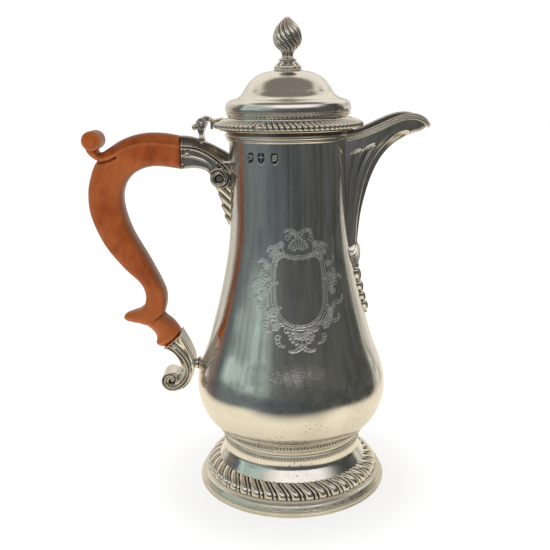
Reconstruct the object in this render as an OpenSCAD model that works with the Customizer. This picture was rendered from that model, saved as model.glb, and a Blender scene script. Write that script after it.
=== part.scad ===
/* [Body] */
// Radius of the body at its widest
belly_r = 59.7; // [57:0.1:62]
// Height of the widest place above the table
belly_z = 68; // [66:0.5:70]
// Radius of the neck under the lid
neck_r = 35.9; // [35:0.1:37]
// Height of the top edge of the body
rim_z = 226.2; // [225.8:0.1:226.3]
// Thickness of the silver walls
wall = 1; // [0.8:0.1:1.4]
// Number of strainer holes in the largest row
strainer_row = 4; // [2:1:4]
// Diameter of a strainer hole
strainer_d = 2.6; // [1.5:0.1:3]

/* [Foot] */
// Largest radius of the foot
foot_r = 59.7; // [58:0.1:62]
// Height of the foot with its collar
foot_h = 39; // [38.5:0.1:39]
// Radius of the foot at the top of the gadroons
dome_r = 45.2; // [44.8:0.1:45.6]
// Height at the top of the gadroons
dome_z = 17.4; // [17:0.1:18]

/* [Lid] */
// Outer radius of the gadrooned border
lid_r = 44.4; // [43.5:0.1:44.8]
// Gap between the closed lid and the body
lid_gap = 0.4; // [0.3:0.1:0.6]
// Outer radius of the bezel that drops into the neck
bezel_r = 33.8; // [33:0.1:33.9]

/* [Finial] */
// Height of the finial's tip above the table
tip_z = 290; // [288:0.5:294]
// Largest radius of the finial
knop_r = 8.35; // [7:0.05:9]

/* [Hinge] */
// Distance of the hinge pin from the axis of the body
hinge_x = 51.6; // [51:0.1:52.5]
// Height of the hinge pin
hinge_z = 229.6; // [229:0.1:230]
// Radius of the hinge knuckles
knuckle_r = 3.1; // [2.8:0.1:3.3]
// Length of all the knuckles together
hinge_w = 13; // [11:0.5:15]
// Radius of the hinge pin
pin_r = 1.1; // [0.9:0.05:1.2]

/* [Handle] */
// Width of the wooden handle
handle_w = 17; // [15:0.5:19]
// Width of the silver sockets
socket_w = 17.6; // [16:0.1:20]
// Radius of the thumb scroll
scroll_r = 5.8; // [5:0.1:6.2]
// Radius of the pins that hold the handle
handle_pin_r = 1.2; // [1:0.1:1.5]

/* [Spout] */
// Distance of the spout's tip from the axis, without its lip
spout_x = 84.6; // [82:0.1:87]
// Half the width of the spout where it meets the neck
spout_half_w = 14.6; // [13:0.1:15]
// Height that the lip rises above its two ends
lip_rise = 6; // [5:0.5:7]
// Thickness of the reeded lip
lip_t = 2.6; // [2:0.1:3.2]

/* [Hidden] */
$fn = 96;
fit = 0.05;             // radial clearance of every pin in its bore
joint_gap = 0.1;        // solder gap between the spout and the body
floor_t = 1.6;          // thickness of the body's floor
foot_t = 1.8;           // thickness of the foot's castings
moulding_z = 217.2;     // lower edge of the rim moulding
lid_z = rim_z + lid_gap;
seat_z = 259.3;         // where the finial's base sits on the dome
stem_z = 217.4;         // where the hinge's stem stands on the upper socket
stem_t = 4.2;           // thickness of the hinge's stem
yoke_z = 221.4;         // where the stem widens to carry the outer knuckles
volute_r = 6;           // radius of the sockets' volutes
rim_open = 28.5;        // half the angle that the rim moulding leaves for the spout
spout_bulge = 4.6;      // how far the spout's sides swell at its mouth
upper_volute = [-42.9, 194.6];
lower_volute = [-77.6, 64.8];
upper_pin = [-60.6, 211.6];
lower_pin = [-72.2, 91.2];
scroll_centre = [-117.4, 220.3];
strainer_rows = 7;      // rows of strainer holes
strainer_z = 176;       // height of the lowest row
strainer_step = [5, 6]; // distance between holes and between rows
knuckle_gap = 0.3;      // clearance between two knuckles
knuckle_w = (hinge_w - 2 * knuckle_gap) / 3;
hinge_axis = [-hinge_x, hinge_z];
spout_rows = 18;
spout_cols = 14;

// A smooth curve through the points p, with n steps between two of them
function curve_at(a, b, c, d, t) =
    0.5 * (2 * b + (c - a) * t + (2 * a - 5 * b + 4 * c - d) * t * t
    + (3 * b - a - 3 * c + d) * t * t * t);
function curve(p, n) = concat(
    [for (i = [0 : len(p) - 2]) for (k = [0 : n - 1])
        curve_at(p[max(i - 1, 0)], p[i], p[i + 1], p[min(i + 2, len(p) - 1)], k / n)],
    [p[len(p) - 1]]);
function reversed(p) = [for (i = [len(p) - 1 : -1 : 0]) p[i]];
function inset(p, d) = [for (q = p) [q[0] - d, q[1]]];

// Outline of the body, radius and height, from the foot to the rim moulding
body_curve = curve([
    [46.4, foot_h], [54, 46.6], [58.5, 57], [belly_r, belly_z], [57.6, 79], [52, 94],
    [47.4, 110], [43.4, 125], [40.1, 140], [37.6, 155], [36.2, 170], [neck_r, 186],
    [neck_r, 202], [neck_r, moulding_z]], 4);
body_heights = [for (q = body_curve) [q[1], q[0]]];
function body_r(z) = lookup(z, body_heights);

// The ridge under the spout, radius and height, from the shell to the tip
ridge = curve([
    [41.2, 150], [42.4, 162], [43.9, 175], [46.6, 187], [50.6, 199.5], [56.4, 210.8],
    [64, 218.4], [72.6, 222.2], [79.6, 223.8], [spout_x, 227]], 2);
// The spout's edge on the body at each step of the ridge: height and half width
edge = curve([
    [150, 5], [160, 7], [171, 9], [182, 11], [192, 12.6], [201, 13.6],
    [208, 14.2], [214, spout_half_w], [219, spout_half_w], [223.6, spout_half_w]], 2);

// A point of the spout's wall: row u runs up the ridge, v across from -1 to 1, d is the inset
function spout_point(u, v, d) = let(
    s = u / spout_rows,
    side = v < 0 ? -1 : 1,
    t = 90 * (1 - abs(v)),
    half_w = edge[u][1] - d,
    edge_z = edge[u][0],
    edge_x = sqrt(pow(body_r(edge_z) + joint_gap, 2) - half_w * half_w),
    lift = d * s * (1 - pow(s, 8)) * sin(t))
    [edge_x + (ridge[u][0] - d - edge_x) * sin(t),
     side * (half_w * cos(t) + spout_bulge * s * s * sin(2 * t)),
     edge_z + (ridge[u][1] - edge_z) * (1 - abs(v)) + lift
        + lip_rise * pow(s, 4) * pow(sin(180 * pow(1 - abs(v), 1.2)), 2.2)];
function spout_row(u, d) = [for (k = [-spout_cols : spout_cols]) spout_point(u, k / spout_cols, d)];

// Faces of a closed skin over rings of n points each: the sides, then a strip across each end
function ring_faces(rings, n) = concat(
    [for (i = [0 : rings - 2]) for (k = [0 : n - 1])
        [(i + 1) * n + k, (i + 1) * n + (k + 1) % n, i * n + (k + 1) % n, i * n + k]],
    [for (k = [0 : n / 2 - 2]) cap_face(k, n, 0)],
    [for (k = [0 : n / 2 - 2]) reversed(cap_face(k, n, (rings - 1) * n))]);
function cap_face(k, n, first) = [first + k, first + k + 1, first + n - 2 - k, first + n - 1 - k];
function triangles(faces) = [for (f = faces) for (k = [1 : len(f) - 2]) [f[0], f[k], f[k + 1]]];

function unit(a) = a / norm(a);

// Side outlines, distance along X and height
handle_outline = concat(
    curve([[-64.4, 222.2], [-74, 224], [-84, 224.4], [-93, 223], [-101, 220], [-107.5, 216],
        [-111.8, 213.4], [-114.4, 213.2], [-115.4, 216.4]], 3),
    curve([[-122.3, 217.4], [-121.4, 213.8], [-118.8, 210.6], [-115.4, 208.2]], 3),
    curve([[-116.6, 206.6], [-119.6, 200], [-122.2, 189.5], [-121.4, 175], [-114.2, 157],
        [-103, 141.9], [-93.4, 132], [-90, 124.5], [-91.2, 118], [-97, 115], [-102.8, 112.8],
        [-105.2, 110], [-102.6, 107.8], [-95, 105.2], [-88.6, 101.4], [-86, 95], [-81.2, 88]], 3),
    curve([[-68.8, 100.2], [-73.5, 106], [-77.6, 112.6], [-77.2, 122], [-80, 132.5],
        [-87.4, 148], [-96.8, 166], [-101, 182], [-99.4, 193.2], [-92.6, 201], [-81, 204.6],
        [-64.4, 202.6]], 3));
upper_arm = concat(
    curve([[-64.2, 222.3], [-57.5, 221.4], [-50.5, 218.8], [-43.5, 215.6], [-36.6, 211.4]], 3),
    curve([[-36.6, 200.4], [-38.2, 193], [-44, 191], [-48.6, 197.6], [-54, 201.2],
        [-64.2, 202.5]], 3));
lower_arm = concat(
    curve([[-81.1, 87.8], [-75.4, 83.4], [-70.8, 76.2], [-72.4, 71], [-77.4, 69.8]], 3),
    curve([[-77, 59.2], [-70, 60.8], [-65.4, 67], [-63.3, 74.8], [-60, 82.6], [-63.9, 92.6],
        [-68.7, 100.1]], 3));

silver = "#c9c7bf";
wood = "#b45f2d";

// A ring or bowl turned about the axis of the body
module turned(points) {
    rotate_extrude() polygon(points);
}

// A plate in the XZ plane, centred on Y
module plate(points, width) {
    rotate([90, 0, 0]) linear_extrude(height = width, center = true) polygon(points);
}

// A round bar along Y, whose axis passes the place [x, z]
module cross_bar(place, r, length) {
    translate([place[0], 0, place[1]]) rotate([90, 0, 0])
        cylinder(r = r, h = length, center = true);
}

module body_shell() {
    outer = concat(body_curve, [[neck_r, rim_z]]);
    inner = [for (q = outer) if (q[1] > foot_h + floor_t) [q[0] - wall, q[1]]];
    color(silver) difference() {
        turned(concat([[0, foot_h]], outer, reversed(inner),
            [[inner[0][0], foot_h + floor_t], [0, foot_h + floor_t]]));
        for (row = [0 : strainer_rows - 1])
            let (last = strainer_row - 1 - row % 2)
                for (k = [0 : last])
                    translate([30, (k - last / 2) * strainer_step[0],
                        strainer_z + row * strainer_step[1]])
                        rotate([0, 90, 0]) cylinder(d = strainer_d, h = 10, $fn = 24);
    }
}

module rim_moulding() {
    profile = concat(
        [[neck_r, moulding_z], [neck_r + 0.9, moulding_z]],
        curve([[37.4, 219.4], [38.6, 220.2], [37.9, 221.2]], 3),
        curve([[37.9, 221.3], [39.4, 222.4], [38.6, 223.6]], 3),
        curve([[38.8, 223.9], [39.6, 224.7], [41.5, 225.3]], 3),
        [[41.5, rim_z], [neck_r, rim_z]]);
    color(silver) rotate([0, 0, rim_open])
        rotate_extrude(angle = 360 - 2 * rim_open) polygon(profile);
}

module spout() {
    n = 2 * spout_cols + 1;
    rings = [for (u = [0 : spout_rows])
        concat(spout_row(u, 0), reversed(spout_row(u, wall)))];
    color(silver) polyhedron(
        points = [for (ring = rings) for (q = ring) q],
        faces = triangles(ring_faces(spout_rows + 1, 2 * n)));
}

module spout_lip() {
    sides = 8;
    steps = 2 * spout_cols;
    path = [for (k = [0 : steps]) spout_point(spout_rows, (k - spout_cols) / spout_cols, 0)];
    rings = [for (k = [0 : steps]) let(
        along = unit(path[min(k + 1, steps)] - path[max(k - 1, 0)]),
        out = unit(cross([0, 0, 1], along)),
        up = cross(along, out),
        centre = path[k] - (lip_t / 2 + joint_gap) * out)
        [for (a = [0 : sides - 1]) centre
            + lip_t / 2 * cos(360 * a / sides) * out + lip_t * 0.75 * sin(360 * a / sides) * up]];
    color(silver) polyhedron(
        points = [for (ring = rings) for (q = ring) q],
        faces = triangles(ring_faces(steps + 1, sides)));
}

// Shell and husks, with their backs cut to the body's curve
module spout_drop() {
    color(silver) difference() {
        union() {
            drop_bead(148.6, 5.6, 9);
            drop_bead(138, 3.8, 7);
            drop_bead(129.4, 3.2, 5.4);
            drop_bead(121.6, 2.8, 4.8);
            drop_bead(114.6, 2.4, 4.4);
        }
        body_space(100, 160);
        translate([30, -20, ridge[0][1] - 0.2]) cube([30, 40, 30]);
    }
}
// One husk: a pillow of the given half width and half height on the body's surface
module drop_bead(z, half_w, half_h) {
    translate([body_r(z), 0, z])
        intersection() {
            rotate([90, 0, 0]) cylinder(r = half_h, h = 2 * half_w, center = true);
            rotate([0, 90, 0]) cylinder(r = half_h, h = 8, center = true);
            translate([0, -half_w, -half_h]) cube([half_w * 0.9, 2 * half_w, 2 * half_h]);
        }
}

module foot_collar() {
    profile = concat([[40, 28.9], [43.4, 28.9], [43.4, 30]],
        curve([[42.4, 30.6], [41.8, 33], [43.4, 36.6]], 4),
        [[45.6, 37.2], [45.6, foot_h], [40, foot_h]]);
    color(silver) turned(profile);
}

module foot_dome() {
    outer = curve([[dome_r, dome_z], [dome_r - 0.5, 21.2], [43.6, 25.2], [42.6, 28.9]], 4);
    color(silver) turned(concat(outer, reversed(inset(outer, foot_t))));
}

module foot_gadroon() {
    outer = curve([[54.6, 8.5], [53.6, 12.2], [50.4, 15.4], [dome_r, dome_z]], 4);
    color(silver) turned(concat(outer,
        curve([[dome_r - foot_t, dome_z], [48.6, 13.8], [51.8, 11.4], [52.8, 8.5]], 4)));
}

module foot_rim() {
    profile = concat([[52.8, 8.5], [54.6, 8.5]],
        curve([[55.4, 8.5], [57.8, 7.4], [59, 4.9]], 4),
        [[58.6, 4.4], [58.6, 4], [foot_r, 3.6], [foot_r, 0.4], [foot_r - 0.4, 0],
        [56.6, 0], [56.6, 4.4], [52.8, 6.8]]);
    color(silver) turned(profile);
}

// The tenon at each end of the handle, and the space for it in the socket
module upper_tenon(grow) {
    translate([-64.6, -5.5 - grow, 206 - grow]) cube([9.6 + grow, 11 + 2 * grow, 10.6 + 2 * grow]);
}
module lower_tenon(grow) {
    translate([-75, 0, 94]) rotate([0, 45, 0])
        translate([-0.3, -5 - grow, -5 - grow]) cube([8.6 + grow, 10 + 2 * grow, 10 + 2 * grow]);
}

module handle() {
    color(wood) difference() {
        union() {
            plate(handle_outline, handle_w);
            cross_bar(scroll_centre, scroll_r, handle_w + 1);
            upper_tenon(0);
            lower_tenon(0);
        }
        cross_bar(upper_pin, handle_pin_r + fit, 30);
        cross_bar(lower_pin, handle_pin_r + fit, 30);
    }
}

module upper_socket() {
    color(silver) difference() {
        union() {
            plate(upper_arm, socket_w);
            cross_bar(upper_volute, volute_r, socket_w);
        }
        upper_tenon(0.15);
        cross_bar(upper_pin, handle_pin_r + fit, 30);
        body_space(180, 216);
        hinge_seat();
    }
}
// The body with its solder gap, between two heights
module body_space(low, high) {
    turned(concat([[0, low]],
        [for (z = [low : 2 : high]) [body_r(z) + joint_gap, z]], [[0, high]]));
}
// The flat seat that the hinge's stem stands on
module hinge_seat() {
    translate([-hinge_x - 3.4, -5, stem_z]) cube([6.8, 10, 10]);
}

module upper_socket_leaf() {
    outline = curve([[-37, 190], [-40.8, 187.6], [-39.9, 182], [-39.2, 175.6], [-37, 169]], 4);
    color(silver) difference() {
        plate(concat(outline, [[-34, 169], [-34, 190]]), 7);
        cross_bar(upper_volute, volute_r + joint_gap, 30);
        body_space(160, 206);
    }
}

module lower_socket() {
    color(silver) difference() {
        union() {
            plate(lower_arm, socket_w);
            cross_bar(lower_volute, volute_r, socket_w);
        }
        lower_tenon(0.15);
        cross_bar(lower_pin, handle_pin_r + fit, 30);
    }
}

module lower_socket_stub() {
    color(silver) difference() {
        translate([-62.6, 0, 77.4]) rotate([0, 90, 0]) cylinder(r = 3.8, h = 8);
        plate(lower_arm, socket_w + 1);
        body_space(64, 92);
    }
}

module handle_pin(place) {
    color(silver) cross_bar(place, handle_pin_r, socket_w + 0.6);
}
module upper_handle_pin() {
    handle_pin(upper_pin);
}
module lower_handle_pin() {
    handle_pin(lower_pin);
}

// Two outer knuckles on a stem that stands in a seat on the upper socket
module hinge_bracket() {
    color(silver) difference() {
        union() {
            for (side = [-1, 1])
                translate([0, side * (knuckle_w + knuckle_gap), 0]) {
                    cross_bar(hinge_axis, knuckle_r, knuckle_w);
                    translate([-hinge_x - stem_t / 2, -knuckle_w / 2 + 0.15, yoke_z + 1])
                        cube([stem_t, knuckle_w - 0.3, hinge_z - yoke_z - 1]);
                }
            translate([-hinge_x - stem_t / 2 - 0.2, -hinge_w / 2, yoke_z])
                cube([stem_t + 0.4, hinge_w, 2.2]);
            translate([-hinge_x - stem_t / 2, -4.7, stem_z]) cube([stem_t, 9.4, yoke_z - stem_z + 1]);
        }
        cross_bar(hinge_axis, pin_r + fit, 30);
        cross_bar(hinge_axis, knuckle_r + 0.5, knuckle_w + 2 * knuckle_gap);
    }
}

module hinge_pin() {
    color(silver) {
        cross_bar(hinge_axis, pin_r, hinge_w + 0.4);
        for (side = [-1, 1])
            translate([0, side * (hinge_w / 2 + 0.5), 0]) cross_bar(hinge_axis, 1.9, 0.8);
    }
}

module lid_hinge_arm() {
    color(silver) difference() {
        union() {
            cross_bar(hinge_axis, knuckle_r, knuckle_w);
            translate([-hinge_x, -knuckle_w / 2 + 0.15, hinge_z - 0.4])
                cube([hinge_x - 39, knuckle_w - 0.3, 2.8]);
            translate([-44, -5.4, hinge_z + 1.8]) cube([5.4, 10.8, 1.5]);
        }
        cross_bar(hinge_axis, pin_r + fit, 30);
        lid_wall_space();
    }
}
// The space that the lid and its border take out of the strap
module lid_wall_space() {
    turned([[0, lid_z - 1], [lid_r + 0.2, lid_z - 1], [lid_r + 0.2, 229.6], [43.6, 231.3],
        [38.4, 231.7], [38.4, 240], [0, 240]]);
}

module lid_gadroon() {
    profile = concat([[38.2, lid_z], [42.8, lid_z]],
        curve([[lid_r - 0.4, lid_z + 0.2], [lid_r, lid_z + 1.4], [43.5, 230.2], [41, 231.2],
        [38.2, 231.5]], 3));
    color(silver) turned(profile);
}

module lid_shell() {
    outer = concat([[38.2, lid_z], [38.2, 231.5]],
        curve([[36.9, 232], [36.5, 233.4]], 2),
        [[36.5, 234.2], [37.2, 234.4], [37.2, 235.2], [36.8, 235.5]],
        curve([[37.3, 236.6], [37, 239], [35.2, 241.4], [32, 243.1], [28.8, 244.6], [26.6, 247],
        [24.6, 250], [21.8, 253.8], [17.4, 257], [13, 258.6], [8.2, seat_z], [2, seat_z + 0.3]], 3));
    color(silver) turned(concat(outer, [[2, seat_z - wall]],
        [for (k = [len(outer) - 2 : -1 : 2]) outer[k] - [wall, k > 20 ? wall * 0.8 : 0]],
        [[34.9, 231], [34.9, 228], [bezel_r, 228], [bezel_r, lid_z]]));
}

module lid_bezel() {
    color(silver) turned([[bezel_r - wall, 220.8], [bezel_r, 220.8], [bezel_r, 227.9],
        [bezel_r - wall, 227.9]]);
}

module finial_base() {
    outline = curve([[8, seat_z + 0.4], [7.1, 261.8], [6.3, 263.5], [4.8, 265.1]], 3);
    color(silver) turned(concat([[2, seat_z + 0.4]], outline, [[2, 265.1]]));
}

module finial() {
    outline = curve([[4.8, 265.2], [3.6, 266.6], [3.2, 267.9], [3.4, 269.4], [5.2, 271.9],
        [7.4, 275.4], [knop_r, 278.8], [knop_r - 0.1, 281], [6.9, 284.2], [5.2, 286.4],
        [2.7, 288.5], [0.4, tip_z]], 3);
    color(silver) turned(concat([[0, 253.6], [1.9, 253.6], [1.9, 265.2]], outline, [[0, tip_z]]));
}

module finial_nut() {
    color(silver) difference() {
        translate([0, 0, 254.6]) cylinder(r = 4.4, h = 2.6, $fn = 6);
        translate([0, 0, 250]) cylinder(r = 1.9 + fit, h = 10);
    }
}

body_shell();
rim_moulding();
spout();
spout_lip();
spout_drop();
foot_collar();
foot_dome();
foot_gadroon();
foot_rim();
upper_socket();
upper_socket_leaf();
lower_socket();
lower_socket_stub();
handle();
upper_handle_pin();
lower_handle_pin();
hinge_bracket();
hinge_pin();
lid_shell();
lid_gadroon();
lid_bezel();
lid_hinge_arm();
finial_base();
finial();
finial_nut();
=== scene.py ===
"""Visual model of a baluster silver coffee pot with a carved wooden handle.

Lengths in this script are millimetres in the frame of the CAD model, +X to the spout and +Z up,
and become metres where a mesh is made. Angles around the body are measured from +X.
"""
import math

import bmesh
import bpy
import numpy as np
from mathutils import Matrix, Vector, kdtree


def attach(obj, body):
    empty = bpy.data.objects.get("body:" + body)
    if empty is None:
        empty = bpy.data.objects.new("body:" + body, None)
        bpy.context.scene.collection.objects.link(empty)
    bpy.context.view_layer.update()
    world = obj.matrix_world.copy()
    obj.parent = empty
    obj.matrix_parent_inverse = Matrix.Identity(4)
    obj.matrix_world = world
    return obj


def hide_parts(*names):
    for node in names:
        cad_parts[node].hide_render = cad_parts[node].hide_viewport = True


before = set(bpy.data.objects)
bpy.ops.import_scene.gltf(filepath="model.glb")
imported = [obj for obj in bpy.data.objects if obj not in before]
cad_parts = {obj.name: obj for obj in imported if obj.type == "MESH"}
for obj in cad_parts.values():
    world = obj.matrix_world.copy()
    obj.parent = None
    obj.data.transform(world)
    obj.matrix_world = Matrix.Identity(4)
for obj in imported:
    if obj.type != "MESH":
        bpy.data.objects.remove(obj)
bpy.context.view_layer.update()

MM = 0.001
TURN = 2 * math.pi

# ---- driving dimensions
FOOT_H = 39.0
WALL = 1.0
FLOOR_Z = FOOT_H + 1.6            # inside of the body's floor
NECK_R = 35.9
MOULDING_Z = 217.2
RIM_Z = 226.2
RIM_OPEN = math.radians(28.5)     # half the angle that the rim moulding leaves for the spout
LID_Z = 226.6
SEAT_Z = 259.3
TIP_Z = 290.0
HINGE = (-51.6, 229.6)            # places in the XZ plane are (x, z)
KNUCKLE_R = 3.1
KNUCKLE_W = 4.13
HINGE_HALF_W = 6.5
SOCKET_HALF_W = 8.8
HANDLE_HALF_W = 8.6
UPPER_PIN = (-60.6, 211.6)
LOWER_PIN = (-73.2, 91.6)
PIN_R = 1.2
HINGE_PIN_R = 1.1
UPPER_VOLUTE = (-41.5, 197.2)
UPPER_VOLUTE_R = 5.9
LOWER_VOLUTE = (-76.4, 67.8)
LOWER_VOLUTE_R = 6.4
SOCKET_END_X = -64.25
WOOD_END_X = -64.3
SCROLL = (-117.4, 220.3)
SCROLL_R = 5.8
LIP_RISE = 8.5                    # how far the crest of the spout's lip stands over its edges
STRAINER_ROWS = 7
STRAINER_WIDEST = 4               # holes in the wider rows
STRAINER_Z = 176.0
STRAINER_STEP = (5.0, 6.0)        # between holes and between rows
STRAINER_R = 1.3
GADROONS = 40
MILLING = 140                     # slanting cuts round each wire of the foot
LID_LOBES = 84
LID_FLIP = math.radians(-114)     # angle where the lid's lobes change direction


# ---- curves and fields
def curve(points, steps):
    """A smooth curve through the points, with `steps` samples between two of them."""
    p = np.array(points, float)
    p = np.vstack([p[:1], p, p[-1:]])
    t = (np.arange(steps) / steps)[:, None]
    spans = [0.5 * (2 * b + (c - a) * t + (2 * a - 5 * b + 4 * c - d) * t**2
                    + (3 * b - a - 3 * c + d) * t**3)
             for a, b, c, d in zip(p, p[1:], p[2:], p[3:])]
    return np.vstack(spans + [p[-1:]])


def arc(centre, radius, start, end, steps):
    """Points on a circle between two angles in degrees."""
    a = np.radians(np.linspace(start, end, steps))
    return np.stack([centre[0] + radius * np.cos(a), centre[1] + radius * np.sin(a)], 1)


def smooth(value, low, high):
    """0 below low, 1 above high and a smooth step between."""
    t = np.clip((value - low) / (high - low), 0, 1)
    return t * t * (3 - 2 * t)


def between(value, low, high, soft):
    """1 between low and high, falling to 0 over `soft` outside."""
    return smooth(value, low - soft, low) * (1 - smooth(value, high, high + soft))


def lobes(phase, start, end):
    """Half-round section of one lobe that fills start to end of each whole phase."""
    q = (phase % 1 - (start + end) / 2) / ((end - start) / 2)
    return np.clip(1 - q * q, 0, 1) ** 0.6


def round_end(value, start, length):
    """1 up to start, then down to 0 over the length as a quarter circle."""
    return np.sqrt(np.clip(1 - (np.clip(value - start, 0, 1) / length)**2, 0, 1))


def bump_line(distance, width):
    """A round ridge of height 1 along a line."""
    return np.exp(-(distance / width) ** 2)


def path_distance(x, z, path):
    """Distance from each place to an open path."""
    best = np.full(np.broadcast(x, z).shape, 1e9)
    for (ax, az), (bx, bz) in zip(path[:-1], path[1:]):
        dx, dz = bx - ax, bz - az
        t = np.clip(((x - ax) * dx + (z - az) * dz) / (dx * dx + dz * dz + 1e-12), 0, 1)
        best = np.minimum(best, np.hypot(x - ax - t * dx, z - az - t * dz))
    return best


def outline_distance(x, z, outline):
    """Distance to a closed outline, negative inside it."""
    closed = np.vstack([outline, outline[:1]])
    inside = np.zeros(np.broadcast(x, z).shape, bool)
    for (ax, az), (bx, bz) in zip(closed[:-1], closed[1:]):
        crosses = (az > z) != (bz > z)
        rise = bz - az if abs(bz - az) > 1e-9 else 1e-9
        inside ^= crosses & (x < (bx - ax) * (z - az) / rise + ax)
    return path_distance(x, z, closed) * np.where(inside, -1, 1)


def blend(a, b, width):
    """Smooth union of two fields."""
    h = np.clip(0.5 + 0.5 * (b - a) / width, 0, 1)
    return b + (a - b) * h - width * h * (1 - h)


def carve(a, b, width):
    """Field a with b smoothly cut out of it."""
    return -blend(-a, b, width)


def ball(x, y, z, centre, radii):
    """Approximate distance to an ellipsoid."""
    p = [(v - c) / r for v, c, r in zip((x, y, z), centre, radii)]
    near = np.sqrt(p[0]**2 + p[1]**2 + p[2]**2) + 1e-9
    steep = np.sqrt(sum((q / r)**2 for q, r in zip(p, radii))) + 1e-9
    return near * (near - 1) / steep


def rounded_plate(side, y, half_width, radius):
    """Field of a plate along Y whose edges are rounded: side is its field in the XZ plane."""
    u = side[:, None, :] + radius
    v = np.abs(y)[None, :, None] - half_width[:, None, :] + radius
    return np.minimum(np.maximum(u, v), 0) + np.hypot(np.maximum(u, 0), np.maximum(v, 0)) - radius


# ---- the body's and the spout's curves
BODY_CURVE = curve([
    (46.4, FOOT_H), (54, 46.6), (58.5, 57), (59.7, 68), (57.6, 79), (52, 94), (47.4, 110),
    (43.4, 125), (40.1, 140), (37.6, 155), (36.2, 170), (NECK_R, 186), (NECK_R, 202),
    (NECK_R, MOULDING_Z), (NECK_R, RIM_Z)], 60)
RIDGE = curve([                   # middle of the spout, as (x, z)
    (41.2, 150), (42.4, 162), (43.9, 175), (46.6, 187), (50.6, 199.5), (56.4, 210.8),
    (64, 218.4), (72.6, 222.2), (79.6, 223.8), (84.6, 227)], 20)
SPOUT_EDGE = curve([              # where the spout leaves the body, as (height, half width)
    (150, 7.6), (160, 9.2), (171, 10.8), (182, 12.2), (192, 13.2), (200.5, 14), (207, 14.4),
    (212, 14.6), (216.4, 14.6), (220.8, 14.6)], 20)


def body_r(z):
    """Outer radius of the body at a height."""
    return np.interp(z, BODY_CURVE[:, 1], BODY_CURVE[:, 0])


def spout_point(s, v, inset):
    """A point of the spout's wall: s runs up the ridge from 0 to 1, v across from -1 to 1."""
    s, v = np.broadcast_arrays(np.asarray(s, float), np.asarray(v, float))
    at = s * (len(RIDGE) - 1)
    rows = np.arange(len(RIDGE))
    ridge_x, ridge_z = (np.interp(at, rows, RIDGE[:, k]) for k in (0, 1))
    edge_z, half_w = (np.interp(at, rows, SPOUT_EDGE[:, k]) for k in (0, 1))
    half_w = half_w - inset
    side = np.where(v < 0, -1, 1)
    over = 1 - np.abs(v)
    t = over * math.pi / 2
    edge_x = np.sqrt((body_r(edge_z) + 0.1)**2 - half_w**2)
    x = edge_x + (ridge_x - inset - edge_x) * np.sin(t)
    y = side * (half_w * np.cos(t) + 4.6 * s * s * np.sin(2 * t))
    crest = np.clip(np.sin(math.pi * over), 0, 1) ** 2
    z = (edge_z + (ridge_z - edge_z) * over + inset * s * (1 - s**8) * np.sin(t)
         + LIP_RISE * s**4 * crest)
    return np.stack([x, y, z], -1)


# ---- meshes
def grid_quads(rows, columns, wrap_rows, wrap_columns):
    """Faces of a grid of rows by columns of vertices."""
    i = np.arange(rows if wrap_rows else rows - 1)[:, None]
    j = np.arange(columns if wrap_columns else columns - 1)[None, :]
    below, right = (i + 1) % rows, (j + 1) % columns
    quads = np.stack([i * columns + j, i * columns + right,
                      below * columns + right, below * columns + j], -1)
    return quads.reshape(-1, 4)


def turned(outline, angles, push=None, full=True):
    """A closed outline (radius, height) turned about the axis, pushed out by push(angle, r, z)."""
    outline = np.asarray(outline, float)
    ahead = np.roll(outline, -1, 0) - np.roll(outline, 1, 0)
    area = np.sum(outline[:, 0] * np.roll(outline[:, 1], -1)
                  - np.roll(outline[:, 0], -1) * outline[:, 1])
    normal = np.stack([ahead[:, 1], -ahead[:, 0]], 1) * np.sign(area)
    normal /= np.linalg.norm(normal, axis=1)[:, None] + 1e-9
    r, z, a = outline[:, :1], outline[:, 1:], np.asarray(angles)[None, :]
    out = push(a, r, z) if push else 0
    r, z = r + normal[:, :1] * out, z + normal[:, 1:] * out
    points = np.stack([r * np.cos(a), r * np.sin(a), z + 0 * a], -1)
    rows, columns = points.shape[:2]
    caps = [] if full else [list(range(0, rows * columns, columns)),
                            list(range(columns - 1, rows * columns, columns))]
    return points.reshape(-1, 3), grid_quads(rows, columns, True, full), caps


def around(count):
    """Evenly spaced angles of a whole turn."""
    return np.arange(count) * TURN / count


def surface_net(field, low, step):
    """Quads on field = 0: one vertex in each cell of the grid that the surface crosses."""
    size = np.array(field.shape) - 1
    total, count = np.zeros((*size, 3)), np.zeros(size)
    for axis in range(3):
        for a in (0, 1):
            for b in (0, 1):
                start = [a, b]
                start.insert(axis, 0)
                f0 = field[tuple(slice(s, s + n) for s, n in zip(start, size))]
                end = [s + (k == axis) for k, s in enumerate(start)]
                f1 = field[tuple(slice(s, s + n) for s, n in zip(end, size))]
                crossed = (f0 < 0) != (f1 < 0)
                total[..., axis] += np.where(crossed, f0 / np.where(crossed, f0 - f1, 1), 0)
                for k in range(3):
                    total[..., k] += crossed * start[k]
                count += crossed
    used = count > 0
    index = np.full(size, -1)
    index[used] = np.arange(used.sum())
    points = np.argwhere(used) + total[used] / count[used][:, None]
    quads = []
    for axis in range(3):
        inside = np.moveaxis(field < 0, axis, 0)
        cells = np.moveaxis(index, axis, 0)
        i, j, k = np.nonzero(inside[:-1, 1:-1, 1:-1] != inside[1:, 1:-1, 1:-1])
        quads.append(np.stack([cells[i, j, k], cells[i, j + 1, k],
                               cells[i, j + 1, k + 1], cells[i, j, k + 1]], 1))
    return points * step + np.array(low), np.vstack(quads), []


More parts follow.
